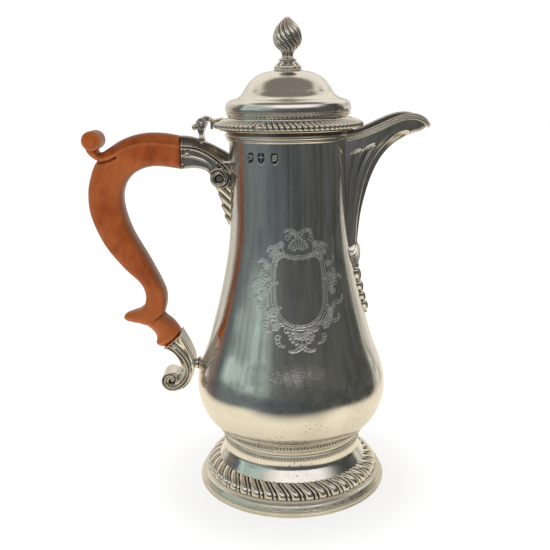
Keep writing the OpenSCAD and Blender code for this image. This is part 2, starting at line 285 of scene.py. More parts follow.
class Block:
    """A box of evenly spaced places, where a piece is a field that is negative inside it."""

    def __init__(self, low, high, step):
        self.low, self.step = low, step
        xs, self.ys, zs = [np.arange(a, b + step, step) for a, b in zip(low, high)]
        self.x, self.y, self.z = np.meshgrid(xs, self.ys, zs, indexing="ij")
        self.side = self.x[:, 0], self.z[:, 0]

    def outside_body(self, field, sunk=0.3):
        """The field without what would reach further than `sunk` into the body."""
        return np.maximum(field, body_r(self.z) - sunk - np.hypot(self.x, self.y))

    def mesh(self, field):
        """The surface of the field."""
        return surface_net(field, self.low, self.step)


def neighbour_sum(values, edges, count):
    """Sum over each vertex's neighbours, for one number per vertex."""
    total = np.bincount(edges[:, 0], values[edges[:, 1]], count)
    return total + np.bincount(edges[:, 1], values[edges[:, 0]], count)


def read(values, key, width, kind):
    """One property of many mesh elements as an array with a row for each."""
    found = np.empty(len(values) * width, kind)
    values.foreach_get(key, found)
    return found.reshape(-1, width)


def write(mesh, name, values):
    """Stores one number per vertex for the materials."""
    layer = mesh.attributes.new(name, "FLOAT", "POINT")
    layer.data.foreach_set("value", values.ravel().astype(np.float32))


def mark_relief(mesh, spread, gain):
    """Writes 'hollow' and 'edge' from 0 to 1: where the surface is concave or convex."""
    places = read(mesh.vertices, "co", 3, float) / MM
    normals = read(mesh.vertex_normals, "vector", 3, np.float32)
    edges = read(mesh.edges, "vertices", 2, np.int32)
    count = len(places)
    degree = np.maximum(np.bincount(edges.ravel(), minlength=count), 1)
    mean = np.stack([neighbour_sum(places[:, k], edges, count) / degree for k in range(3)], 1)
    length = np.linalg.norm(places[edges[:, 0]] - places[edges[:, 1]], axis=1)
    reach = (np.bincount(edges[:, 0], length**2, count)
             + np.bincount(edges[:, 1], length**2, count)) / degree + 1e-9
    bend = np.clip(2 * np.einsum("ij,ij->i", mean - places, normals) / reach, -3, 3)
    for _ in range(spread):
        bend = 0.4 * bend + 0.6 * neighbour_sum(bend, edges, count) / degree
    write(mesh, "hollow", np.clip(bend * gain, 0, 1))
    write(mesh, "edge", np.clip(-bend * gain, 0, 1))


def piece(name, node, shape, finish, body="pot", sharp=42, spread=3, gain=1.2, painted_shade=None):
    """One visible piece: its mesh, its finish, its body and the CAD node that it stands for."""
    points, quads, others = shape
    material, slot = finish
    mesh = bpy.data.meshes.new(name)
    mesh.from_pydata((np.asarray(points) * MM).tolist(), [], np.asarray(quads).tolist() + others)
    # Painted shade that the materials lay over this piece where it is marked.
    if painted_shade is not None:
        write(mesh, "painted_shade", painted_shade)
    bm = bmesh.new()
    bm.from_mesh(mesh)
    bmesh.ops.remove_doubles(bm, verts=bm.verts, dist=1e-6)
    bmesh.ops.dissolve_degenerate(bm, dist=1e-7, edges=bm.edges)
    bmesh.ops.recalc_face_normals(bm, faces=bm.faces)
    bm.to_mesh(mesh)
    bm.free()
    mesh.shade_smooth()
    mesh.set_sharp_from_angle(angle=math.radians(sharp))
    mark_relief(mesh, spread, gain)
    mesh.materials.append(material)
    obj = bpy.data.objects.new(name, mesh)
    bpy.context.scene.collection.objects.link(obj)
    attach(obj, body)
    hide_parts(node)
    return obj


def turned_piece(name, node, outline, columns, finish, body="pot", push=None, **look):
    """A piece that is one outline turned all the way round."""
    return piece(name, node, turned(outline, around(columns), push), finish, body, **look)


# ---- material nodes
class Nodes:
    """A few short ways to add shader nodes to one tree."""

    def __init__(self, owner):
        owner.use_nodes = True
        self.tree = owner.node_tree
        self.tree.nodes.clear()

    def add(self, kind, **settings):
        item = self.tree.nodes.new(kind)
        for key, value in settings.items():
            setattr(item, key, value)
        return item

    def put(self, socket, value):
        """Links value to the socket, or sets it when value is a plain number or colour."""
        if isinstance(value, bpy.types.NodeSocket):
            self.tree.links.new(value, socket)
        elif hasattr(value, "__len__") and len(value) == 3 and socket.type == "RGBA":
            socket.default_value = (*value, 1)
        else:
            socket.default_value = value

    def math(self, operation, a, b=0.0):
        item = self.add("ShaderNodeMath", operation=operation)
        self.put(item.inputs[0], a)
        self.put(item.inputs[1], b)
        return item.outputs[0]

    def times(self, product, *factors):
        for factor in factors:
            product = self.math("MULTIPLY", product, factor)
        return product

    def mix(self, factor, a, b):
        item = self.add("ShaderNodeMix", data_type="RGBA")
        self.put(item.inputs["Factor"], factor)
        self.put(item.inputs[6], a)
        self.put(item.inputs[7], b)
        return item.outputs[2]

    def layers(self, base, *coats):
        """Colours laid over the base in turn, each where its amount says."""
        for amount, colour in coats:
            base = self.mix(amount, base, colour)
        return base

    def spread(self, value, low, high, to_low=0.0, to_high=1.0):
        """A smooth step from to_low at low to to_high at high."""
        item = self.add("ShaderNodeMapRange", interpolation_type="SMOOTHSTEP")
        for socket, number in zip(item.inputs, (value, low, high, to_low, to_high)):
            self.put(socket, number)
        return item.outputs[0]

    def ramp(self, value, *stops):
        """A colour for each place of value, mixed evenly between the stops."""
        item = self.add("ShaderNodeValToRGB")
        elements = item.color_ramp.elements
        while len(elements) < len(stops):
            elements.new(0.5)
        for element, (place, colour) in zip(elements, sorted(stops)):
            element.position = place
            element.color = (*colour, 1)
        self.put(item.inputs[0], value)
        return item.outputs[0]

    def axes(self, vector):
        item = self.add("ShaderNodeSeparateXYZ")
        self.put(item.inputs[0], vector)
        return item.outputs

    def place(self, scale=(1, 1, 1), turn=(0, 0, 0)):
        """Object coordinates, turned and then stretched."""
        where = self.add("ShaderNodeTexCoord").outputs["Object"]
        turned_by = self.add("ShaderNodeMapping", vector_type="POINT")
        self.put(turned_by.inputs["Vector"], where)
        turned_by.inputs["Rotation"].default_value = [math.radians(t) for t in turn]
        stretched = self.add("ShaderNodeMapping", vector_type="POINT")
        self.put(stretched.inputs["Vector"], turned_by.outputs[0])
        stretched.inputs["Scale"].default_value = scale
        return stretched.outputs[0]

    def noise(self, where, scale, detail=3.0, rough=0.5, warp=0.0):
        item = self.add("ShaderNodeTexNoise")
        for key, value in (("Vector", where), ("Scale", scale), ("Detail", detail),
                           ("Roughness", rough), ("Distortion", warp)):
            self.put(item.inputs[key], value)
        return item.outputs[0]

    def cells(self, where, scale):
        item = self.add("ShaderNodeTexVoronoi")
        self.put(item.inputs["Vector"], where)
        self.put(item.inputs["Scale"], scale)
        return item.outputs["Distance"]

    def attribute(self, name):
        return self.add("ShaderNodeAttribute", attribute_name=name).outputs["Fac"]

    def bump(self, height, distance, normal=None):
        item = self.add("ShaderNodeBump")
        item.inputs["Strength"].default_value = 1.0
        item.inputs["Distance"].default_value = distance
        self.put(item.inputs["Height"], height)
        if normal is not None:
            self.put(item.inputs["Normal"], normal)
        return item.outputs[0]

    def surface(self, **inputs):
        """Ends a material with the Principled shader."""
        shader = self.add("ShaderNodeBsdfPrincipled")
        for key, value in inputs.items():
            self.put(shader.inputs[key.replace("_", " ")], value)
        self.output("Material", shader.outputs[0])

    def blend(self, factor, a, b):
        item = self.add("ShaderNodeMixShader")
        for socket, value in zip(item.inputs, (factor, a, b)):
            self.put(socket, value)
        return item.outputs[0]

    def output(self, kind, shader):
        self.put(self.add("ShaderNodeOutput" + kind).inputs["Surface"], shader)


def scratches(n):
    """Fine hairlines in three directions: stretched noise with only its peaks kept."""
    total = 0.0
    for k in range(3):
        where = n.place(scale=(1, 1, 0.03), turn=(35 * k + 10, 55 * k, 20 * k))
        total = n.math("ADD", total, n.spread(n.noise(where, 2600, 2.0), 0.62, 0.78))
    return total


def silver(name, light, tarnish, gloss, wobble, pitted):
    """Old polished silver: tarnish in the hollows, hairlines, soft dents and a few pits, with painted
    highlights on convex edges and engraved lines, and painted shade where a piece marks it.
    """
    material = bpy.data.materials.new(name)
    n = Nodes(material)
    where = n.place()
    cloud = n.noise(where, 55, 4.0, 0.6)
    groove = n.attribute("groove")
    dirt = n.times(n.spread(n.attribute("hollow"), 0.03, 0.55), n.spread(cloud, 0.2, 0.62, 0.6, 1.0))
    veil = n.spread(n.noise(n.place(scale=(1, 1, 0.35)), 24, 5.0, 0.62), 0.5, 0.78, 0.0, 0.35)
    low = n.spread(n.axes(where)[2], 0.072, 0.05, 0.15, 1.0)
    spots = n.math("SUBTRACT", 1.0, n.spread(n.cells(where, 430), 0.16, 0.24))
    spots = n.times(spots, n.spread(n.noise(where, 75, 2.0), 0.50, 0.60), low, pitted)
    base = n.layers(
        light,
        (n.spread(cloud, 0.3, 0.7, 0.0, 0.6), tuple(c * 0.86 for c in light)),
        (veil, (0.56, 0.49, 0.39)),
        (n.times(dirt, tarnish), (0.085, 0.064, 0.042)),
        # Painted highlight: convex edges lightened.
        (n.times(n.attribute("edge"), 0.45), (0.90, 0.87, 0.82)),
        # Painted highlight: engraved lines lightened to near white.
        (n.times(groove, 0.75), (0.97, 0.97, 0.94)),
        # Painted shade: near black where a piece marks it, inside and under the spout, on the sockets
        # and in the punches.
        (n.times(n.attribute("painted_shade"), 0.9), (0.035, 0.033, 0.028)),
        (n.times(spots, 0.8), (0.20, 0.15, 0.09)))
    lines = scratches(n)
    smear = n.noise(n.place(scale=(1, 1, 0.2)), 110, 4.0, 0.65)
    rough = n.spread(smear, 0.3, 0.75, gloss, gloss * 2.2)
    for amount, weight in ((dirt, 0.2), (groove, 0.24), (lines, 0.05), (veil, 0.22)):
        rough = n.math("ADD", rough, n.times(amount, weight))
    soft = n.bump(n.noise(n.place(scale=(1, 1, 0.6)), 34, 2.0, 0.45), wobble)
    relief = n.times(n.math("ADD", lines, n.times(spots, 3.0)), -1.0)
    # Metallic drops in the engraved lines, which is part of their painted highlight.
    n.surface(Base_Color=base, Roughness=rough, Normal=n.bump(relief, 0.000012, soft),
              Metallic=n.math("SUBTRACT", 1.0, n.times(groove, 0.2)))
    return material


def carved_wood(name):
    """Orange-brown fruitwood: straight grain, dark pores, a waxy and worn polish, with painted
    highlights on the edges and the leg, and painted shade in the hollows and on the face towards the
    pot.
    """
    material = bpy.data.materials.new(name)
    n = Nodes(material)
    lean = (4, -14, 0)                 # the grain follows the handle's grip
    figure = n.noise(n.place(scale=(1, 1, 0.12), turn=lean), 260, 5.0, 0.6, 0.3)
    bands = n.noise(n.place(scale=(1, 1, 0.16), turn=lean), 40, 3.0, 0.5, 0.5)
    pore = n.spread(n.noise(n.place(scale=(1, 1, 0.06), turn=lean), 1500, 2.0), 0.62, 0.74)
    patch = n.noise(n.place(), 30, 4.0, 0.6)
    flecks = n.spread(n.noise(n.place(scale=(1, 0.5, 0.5), turn=(0, 40, 0)), 900, 2.0), 0.66, 0.76)
    grain = n.ramp(figure, (0.25, (0.28, 0.047, 0.0055)), (0.5, (0.41, 0.077, 0.0095)),
                   (0.75, (0.54, 0.12, 0.019)))
    base = n.layers(
        grain,
        (n.spread(bands, 0.4, 0.7, 0.0, 0.5), (0.34, 0.062, 0.010)),
        (n.times(pore, 0.4), (0.16, 0.032, 0.008)),
        (n.spread(patch, 0.42, 0.62, 0.0, 0.55), (0.66, 0.175, 0.036)),
        (n.times(flecks, 0.3), (0.72, 0.32, 0.13)),
        # Painted light: lighter orange towards the bottom of the handle, on the leg below the crease.
        (n.spread(n.axes(n.place())[2], 0.150, 0.108, 0.0, 0.42), (0.74, 0.22, 0.05)),
        # Painted highlight: the edges lightened, more in some patches than others.
        (n.times(n.attribute("edge"), n.spread(patch, 0.3, 0.6, 0.5, 1.0), 0.75), (0.74, 0.33, 0.14)),
        # Painted shade: the hollows and the crease darkened to near black.
        (n.times(n.attribute("hollow"), 0.85), (0.06, 0.014, 0.005)),
        # Painted shade: the handle's face towards the pot is dulled to a muted brown.
        (n.times(n.attribute("painted_shade"), 0.7), (0.27, 0.15, 0.10)))
    rough = n.math("ADD", n.spread(patch, 0.3, 0.7, 0.30, 0.46), n.times(pore, 0.2))
    knocks = n.bump(n.noise(n.place(), 80, 3.0), 0.00035)
    relief = n.math("SUBTRACT", n.times(figure, 0.4), pore)
    n.surface(Base_Color=base, Roughness=rough, Normal=n.bump(relief, 0.00006, knocks),
              Specular_IOR_Level=0.24, Coat_Weight=0.10, Coat_Roughness=0.22)
    return material


# Each finish is a material and the slot of the record that it belongs to.
PLAIN = silver("silver_plain", (0.86, 0.82, 0.75), 0.8, 0.085, 0.00034, 1.0), "silver_plain"
CAST = silver("silver_cast", (0.88, 0.81, 0.715), 1.0, 0.115, 0.00012, 0.3), "silver_cast"
WORN = silver("silver_worn", (0.83, 0.785, 0.69), 0.8, 0.21, 0.00015, 0.3), "silver_cast"
WOOD = carved_wood("fruitwood"), "fruitwood"


# ---- engraving on the body
ENGRAVED_AT = math.radians(-85.2)      # angle of the shield's centre
ENGRAVED_Z = 137.0
ENGRAVED_R = 41.0                      # radius that turns arc lengths into angles
ENGRAVED_LINE = 0.25                   # half width of an engraved line
ENGRAVED_DEPTH = 0.17
PUNCH_DEPTH = 0.28
PUNCH_Z = 211.0
PUNCH_ANGLES = [math.radians(a - 90) for a in (-38.7, -27.0, -13.9)]


def turned_to(points, x, z, heading):
    """Points in a frame whose first axis heads off from (x, z)."""
    c, s = math.cos(heading), math.sin(heading)
    points = np.asarray(points, float)
    return np.column_stack([x + points[:, 0] * c - points[:, 1] * s,
                            z + points[:, 0] * s + points[:, 1] * c])


def frond(x, z, heading, bend, length, scallops=5):
    """A curling spine with a scalloped outer edge that dies away towards its tip."""
    t = np.linspace(0, 1, 25)
    angle = heading + bend * t**1.4
    step = length / 24 * (1.25 - 0.5 * t)
    spine = np.column_stack([x + np.cumsum(step * np.cos(angle)),
                             z + np.cumsum(step * np.sin(angle))])
    side = -np.sign(bend)
    strokes = [spine]
    for k in range(scallops):
        a, b = int(22 * k / scallops), int(22 * (k + 1) / scallops)
        high = length * 0.30 * (1 - 0.75 * k / scallops)
        out = angle[(a + b) // 2] + side * 1.15
        tip = spine[b] + high * np.array([math.cos(out), math.sin(out)])
        out += side * 0.25
        swell = spine[a] + 0.9 * high * np.array([math.cos(out), math.sin(out)])
        strokes.append(curve([spine[a], swell, tip, spine[b]], 4))
    return strokes


def flower(x, z, radius):
    """Five petals round a ring."""
    petals = [arc((x + radius * 0.66 * math.cos(a), z + radius * 0.66 * math.sin(a)),
                  radius * 0.36, 0, 360, 9) for a in around(5) + 0.3]
    return [arc((x, z), radius * 0.26, 0, 360, 8)] + petals


def shell_fan(x, z, heading, radius, rays):
    """A fan of rays inside a scalloped edge."""
    drawn = []
    for a in np.linspace(-1.1, 1.1, rays):
        ray = [(radius * 0.25, 0), (radius * (1 - 0.25 * abs(a)), 0)]
        drawn.append(turned_to(ray, x, z, heading + a))
    edge = []
    for k, a in enumerate(np.linspace(-1.1, 1.1, 2 * rays)):
        reach = radius * (1 - 0.25 * abs(a)) * (1 + 0.08 * (-1) ** k)
        edge.append((reach * math.cos(a), reach * math.sin(a)))
    return drawn + [turned_to(curve(edge, 3), x, z, heading)]


def cartouche():
    """Strokes of a rococo frame round an empty shield, as arc length and height in mm."""
    right = curve([(0, -20), (4.6, -19), (9.4, -14.6), (12.2, -7), (12.8, 1), (12.9, 9), (12, 14.6),
                   (8.6, 17), (4.4, 16.4), (2, 15.6), (0, 16.2)], 6)
    strokes = []
    for grow in (1.0, 1.07, 1.17):
        edge = right * (grow, grow**0.7)
        strokes += [edge, edge * (-1, 1)]
    jitter = np.random.default_rng(11)
    for side in (-1, 1):
        parts = []
        for k, a in enumerate(np.radians([62, 40, 17, -6, -29, -52, -74])):
            x, z = 16.2 * math.cos(a), 23.5 * math.sin(a) - 0.5
            lean = math.radians(95 if k % 2 else -70) + jitter.uniform(-0.3, 0.3)
            bend = (1.9 if k % 2 else -1.9) * jitter.uniform(0.85, 1.2)
            for offset, size in ((0.0, 9.5), (3.2, 6.5)):
                length = size * jitter.uniform(0.85, 1.15)
                parts += frond(x + offset, z + 0.8 * offset, a + lean, bend, length)
        for a in np.radians([74, 51, 28, 6, -17, -40, -63]):
            x, z = 20.4 * math.cos(a), 27.5 * math.sin(a) - 0.5
            heading, bend = a + jitter.uniform(-0.7, 0.7), jitter.choice([-2.2, 2.2])
            parts += frond(x, z, heading, bend, 6.2 * jitter.uniform(0.85, 1.2), 4)
        parts += frond(1.2, 27.2, math.pi / 2 - 0.5, -1.6, 8.0)
        parts += frond(0.8, -29.4, 0.35 - math.pi / 2, 1.7, 6.5)
        strokes += [part * (side, 1) for part in parts]
        for x, z, radius in [(17.6, 12.2, 1.9), (18.4, -3.4, 1.8), (11.8, -20.6, 1.9), (9.8, 24.0, 1.7)]:
            strokes += flower(side * x, z, radius)
    strokes += shell_fan(0, 19.4, math.pi / 2, 8.2, 9) + shell_fan(0, -22.0, -math.pi / 2, 8.6, 9)
    return [(s + (1.2, 0)) * (1.14, 1.05) for s in strokes]


PUNCH_EDGE = curve([(-1.9, 2.9), (-2.15, 0), (-1.6, -2.3), (0, -3.4), (1.6, -2.3), (2.15, 0),
                    (1.9, 2.9), (0, 3.2), (-1.9, 2.9)], 4)
PUNCH_MARKS = (
    [arc((0, 0.3), 1.15, 0, 360, 12), np.array([(0, -1.2), (0, -2.2)])],
    [np.array([(-1.2, 0.5), (1.2, 0.5)]), np.array([(0, 2.0), (0, -2.0)])],
    [np.array([(-1.1, z), (1.1, z + 0.5)]) for z in (-1.3, -0.1, 1.1)],
)


def punches(angle, z):
    """Depth of the three plain punches at each place of the body's outside, which also sets their
    painted shade.
    """
    depth = np.zeros(z.shape)
    for at, marks in zip(PUNCH_ANGLES, PUNCH_MARKS):
        u = (angle - at) * NECK_R
        near = (np.abs(u) < 3.6) & (np.abs(z - PUNCH_Z) < 4.6)
        x, y = u[near], z[near] - PUNCH_Z
        sunk = 1 - smooth(outline_distance(x, y, PUNCH_EDGE), -0.35, 0.15)
        raised = np.max([1 - smooth(path_distance(x, y, m), 0.22, 0.5) for m in marks], axis=0)
        depth[near] = sunk * (1 - raised)
    return depth


def dense(strokes, gap):
    """Points no further than gap apart along every stroke."""
    found = []
    for stroke in strokes:
        for a, b in zip(stroke[:-1], stroke[1:]):
            count = max(2, int(np.hypot(*(b - a)) / gap) + 1)
            found.append(a + (b - a) * np.linspace(0, 1, count)[:, None])
    return np.vstack(found)


def engraving(angle, z):
    """Depth of the engraved lines from 0 to 1 at each place of the body's outside."""
    points = dense(cartouche(), 0.2)
    tree = kdtree.KDTree(len(points))
    for k, (u, v) in enumerate(points):
        tree.insert((u, v, 0), k)
    tree.balance()
    depth = np.zeros(z.shape)
    across, up = (angle - ENGRAVED_AT) * ENGRAVED_R, z - ENGRAVED_Z
    for place in zip(*np.nonzero((np.abs(across) < 33) & (np.abs(up) < 40))):
        distance = tree.find((across[place], up[place], 0))[2]
        depth[place] = math.exp(-(distance / ENGRAVED_LINE) ** 2)
    return depth


# ---- turned pieces
def body_heights():
    """Rows of the body's outside, close together where it is engraved."""
    fine = 0.36
    return np.concatenate([
        np.arange(FOOT_H, 100, 1.6), np.arange(100, 173, fine), np.arange(173, 206.5, 2.2),
        np.arange(206.5, 215.6, fine), np.arange(215.8, RIM_Z, 2.0), [RIM_Z]])


def body_angles():
    """Columns of the body, close together where it is engraved."""
    middle, reach, fine = ENGRAVED_AT, math.radians(42), math.radians(0.5)
    inner = np.arange(middle - reach, middle + reach, fine)
    outer = np.arange(middle + reach, middle - reach + TURN, math.radians(2.4))
    return np.concatenate([inner, outer])


def make_body():
    """The raised body with its floor, the engraving, the punches and the strainer."""
    heights, angles = body_heights(), body_angles()
    outer = np.column_stack([body_r(heights), heights])
    inner_z = np.concatenate([np.linspace(RIM_Z, 60, 26), np.linspace(56, FLOOR_Z, 7)])
    inner = np.column_stack([body_r(inner_z) - WALL, inner_z])
    floor = [(20, FLOOR_Z), (0.01, FLOOR_Z), (0.01, FOOT_H), (25, FOOT_H)]
    outline = np.vstack([outer, inner, floor])
    grid_a, grid_z = np.meshgrid(angles, outline[:, 1])
    cut = ENGRAVED_DEPTH * engraving(grid_a, grid_z) + PUNCH_DEPTH * punches(grid_a, grid_z)
    outside = (np.arange(len(outline)) < len(heights))[:, None]
    def push(a, r, z):
        dents = 0.04 * (np.sin(5 * a + z / 13) * np.sin(z / 9 + 2 * a) + np.sin(9 * a - z / 17 + 1))
        return (dents * between(z, 60, 195, 20) - cut) * outside
    obj = piece("body_raised", "body_shell", turned(outline, angles, push), PLAIN, sharp=50)
    drill_strainer(obj)
    write_groove(obj.data)


def drill_strainer(obj):
    """Rows of round holes through the neck behind the spout."""
    across, up = STRAINER_STEP
    bm = bmesh.new()
    for row in range(STRAINER_ROWS):
        last = STRAINER_WIDEST - 1 - row % 2
        for k in range(last + 1):
            centre = Vector((NECK_R - 0.9, (k - last / 2) * across, STRAINER_Z + row * up)) * MM
            place = Matrix.Translation(centre) @ Matrix.Rotation(math.pi / 2, 4, "Y")
            bmesh.ops.create_cone(bm, cap_ends=True, segments=20, radius1=STRAINER_R * MM,
                                  radius2=STRAINER_R * MM, depth=8 * MM, matrix=place)
    mesh = bpy.data.meshes.new("drills")
    bm.to_mesh(mesh)
    bm.free()
    drills = bpy.data.objects.new("drills", mesh)
    bpy.context.scene.collection.objects.link(drills)
    cut = obj.modifiers.new("strainer", "BOOLEAN")
    cut.operation, cut.solver, cut.object = "DIFFERENCE", "EXACT", drills
    depsgraph = bpy.context.evaluated_depsgraph_get()
    drilled = bpy.data.meshes.new_from_object(obj.evaluated_get(depsgraph))
    obj.modifiers.clear()
    obj.data = drilled
    bpy.data.objects.remove(drills)


def write_groove(mesh):
    """Marks the engraved lines for their painted highlight, and the punches for their painted shade."""
    x, y, z = (read(mesh.vertices, "co", 3, float) / MM).T
    angle = np.arctan2(y, x)
    outside = np.hypot(x, y) > body_r(z) - 0.5
    write(mesh, "groove", engraving(angle, z) * outside)
    write(mesh, "painted_shade", punches(angle, z) * outside)


def make_rim_moulding():
    """Two reeds under a flared edge round the neck, open towards the spout."""
    outline = np.vstack([
        [(NECK_R - 0.2, 219.2), (36.5, 219.2)], arc((36.6, 220.2), 0.75, -80, 75, 8),
        [(36.7, 221.0)], arc((36.9, 222.3), 1.25, -75, 75, 11), [(37.1, 223.6), (37.2, 224.4)],
        curve([(37.8, 224.8), (39.4, 225.1), (41.0, 225.4), (41.5, 225.8)], 4),
        [(41.3, RIM_Z), (NECK_R - 0.2, RIM_Z)]])
    angles = np.linspace(RIM_OPEN - 0.03, TURN - RIM_OPEN + 0.03, 240)
    piece("rim_reeded", "rim_moulding", turned(outline, angles, full=False), CAST)


def milled(a, r, z, low, high, depth):
    """Slanted milling on a wire between two heights."""
    return depth * between(z, low, high, 0.25) * (r > 42.4) * np.sin(MILLING * a + (z - low) * 1.6)


def make_foot_collar():
    """The concave collar between two milled wires."""
    outline = np.vstack([
        [(40, 28.6), (42.4, 28.5)], arc((42.7, 29.6), 0.95, -80, 75, 14),
        curve([(42.8, 30.7), (42.9, 31.0), (43.3, 31.3), (43.4, 31.8), (43.0, 32.3), (42.8, 33.4),
               (43.2, 34.8), (43.9, 35.9), (44.5, 36.2), (44.6, 36.7)], 3),
        arc((45.3, 38.0), 1.25, -75, 80, 16), [(45.0, 39.5), (40, 39.5)]])
    def push(a, r, z):
        return milled(a, r, z, 28.9, 30.4, 0.34) + milled(a, r, z, 37.2, 38.9, 0.42)
    turned_piece("foot_collar_milled", "foot_collar", outline, MILLING * 8, WORN, push=push, gain=0.35)


def make_foot_dome():
    """The hollow-sided dome that flares from the lower wire out to the lobes."""
    outer = curve([(47.4, 17.0), (46.3, 18.6), (45.2, 20.2), (44.1, 21.8), (43.2, 23.3),
                   (42.7, 24.9), (42.45, 26.8), (42.4, 29.2)], 6)
    outline = np.vstack([outer, (outer - (1.6, 0))[::-1]])
    turned_piece("foot_dome_plain", "foot_dome", outline, 256, PLAIN)


def along(outer, outline):
    """How far along its outer stretch each point of an outline is, from 0 to 1, or -1 beyond it."""
    length = np.concatenate([[0], np.cumsum(np.linalg.norm(np.diff(outer, axis=0), axis=1))])
    found = np.full((len(outline), 1), -1.0)
    found[:len(outer), 0] = length / length[-1]
    return found


def make_foot_gadroon():
    """Swirled lobes with fillets between them round the foot."""
    outer = curve([(46.0, 17.3), (48.2, 16.8), (50.9, 15.2), (53.4, 12.4), (54.8, 8.4)], 12)
    outline = np.vstack([outer, curve([(52.8, 8.4), (51.8, 11.4), (48.6, 13.8), (43.4, 17.2)], 2)])
    s = along(outer, outline)
    def push(a, r, z):
        swirl = math.radians(7.6) * smooth(s, -0.1, 0.85)
        phase = GADROONS * (a - swirl) / TURN
        start = smooth(s, 0.0, 0.07)
        swell = (0.55 + 0.45 * smooth(s, 0, 0.7)) * start * round_end(s, 0.8, 0.17)
        lobe = 1.6 * lobes(phase, 0, 0.62) * swell
        fillet = 1.1 * lobes(phase, 0.69, 0.93) * start * round_end(s, 0.84, 0.13)
        return np.where(s < 0, 0, lobe + fillet - 0.7 * between(s, 0.05, 0.93, 0.05))
    turned_piece("foot_gadrooned", "foot_gadroon", outline, GADROONS * 22, CAST, push=push,
                 sharp=60, gain=1.0)


def make_foot_rim():
    """The stepped base ring with its groove and two reeds."""
    outline = np.vstack([
        [(52.8, 8.6), (54.5, 8.7)], arc((55.3, 8.5), 0.75, 150, 0, 7),
        curve([(56.0, 8.2), (57.6, 7.2), (58.8, 5.0)], 6), [(58.5, 4.6), (58.4, 4.3)],
        arc((58.7, 3.1), 1.05, 100, -20, 8), arc((58.8, 1.3), 0.95, 50, -80, 8),
        [(58.6, 0), (56.6, 0), (56.6, 4.4), (52.8, 6.8)]])
    turned_piece("foot_rim_reeded", "foot_rim", outline, 256, WORN)


def make_lid():
    """The domed lid: a vertical band, a fillet, a cushion and an ogee dome."""
    band = curve([(37.4, 231.2), (36.5, 231.7), (36.15, 232.4), (36.3, 233.4), (36.7, 234.3)], 5)
    dome = curve([
        (36.9, 235.8), (37.4, 236.5), (37.55, 237.5), (37.4, 238.6), (37.05, 239.8), (36.5, 241.0),
        (35.3, 242.1), (33.5, 242.8), (31.4, 243.4), (29.8, 244.2), (28.2, 245.4), (26.9, 247),
        (25.7, 249), (24.2, 251.2), (22.4, 253.4), (19.8, 255.6), (16.8, 257.3), (13, 258.6),
        (8.2, SEAT_Z), (2, 259.6)], 7)
    outer = np.vstack([[(38.2, 230.6)], band, arc((36.75, 234.9), 0.5, -60, 80, 7), [(36.6, 235.5)],
                       dome])
    inner = outer[2::3][::-1] - (WALL, 0.7)
    skirt = [(34.9, 230.5), (34.9, 228), (33.8, 228), (33.8, LID_Z), (38.2, LID_Z)]
    turned_piece("lid_domed", "lid_shell", np.vstack([outer, inner, skirt]), 288, PLAIN, "lid")


def make_lid_gadroon():
    """Slanting lobes with bulbous ends, meeting head on at two places."""
    outer = curve([(38.0, 231.9), (39.6, 231.7), (41.4, 231.0), (43.2, 229.8), (44.0, 228.4),
                   (43.8, 227.1), (42.6, LID_Z)], 7)
    outline = np.vstack([outer, [(40.5, LID_Z), (38.0, LID_Z)]])
    s = along(outer, outline)
    def push(a, r, z):
        from_flip = np.abs((a - LID_FLIP + math.pi) % TURN - math.pi)
        start = math.radians(4.6) * np.clip(s, 0, 1)
        phase = LID_LOBES * (from_flip - start) / TURN
        height = (0.75 + 0.95 * smooth(s, 0.35, 0.75)) * smooth(s, 0.0, 0.05) * round_end(s, 0.74, 0.2)
        lobe = height * lobes(phase, 0.04, 0.96) * smooth(from_flip, start - 0.01, start + 0.01)
        bud = 0.8 * bump_line(from_flip * 43, 1.5) * between(s, 0.3, 0.8, 0.15)
        return np.where(s < 0, 0, lobe + bud - 0.8 * between(s, 0.05, 0.9, 0.05))
    turned_piece("lid_gadrooned", "lid_gadroon", outline, LID_LOBES * 14, CAST, "lid", push,
                 sharp=60, gain=0.9)


def make_lid_bezel():
    """The ring under the lid that drops into the neck."""
    outline = [(32.8, 221.1), (33.1, 220.8), (33.5, 220.8), (33.8, 221.2), (33.8, 227.9), (32.8, 227.9)]
    turned_piece("lid_bezel_ring", "lid_bezel", outline, 192, PLAIN, "lid")


def make_finial_base():
    """A small lobed bell under the finial."""
    outline = np.vstack([
        [(2, SEAT_Z - 0.2), (8.2, SEAT_Z - 0.2)], arc((8.1, 259.7), 0.55, -80, 60, 6),
        curve([(8.2, 260.3), (8.0, 261.4), (7.1, 262.8), (5.9, 263.9), (4.9, 264.7)], 6), [(2, 265.0)]])
    def push(a, r, z):
        return 0.75 * (np.abs(np.sin(4 * a)) ** 0.7 - 0.7) * between(z, 260.6, 264.0, 0.6) * (r > 3)
    turned_piece("finial_bell", "finial_base", outline, 240, CAST, "lid", push, gain=0.5)


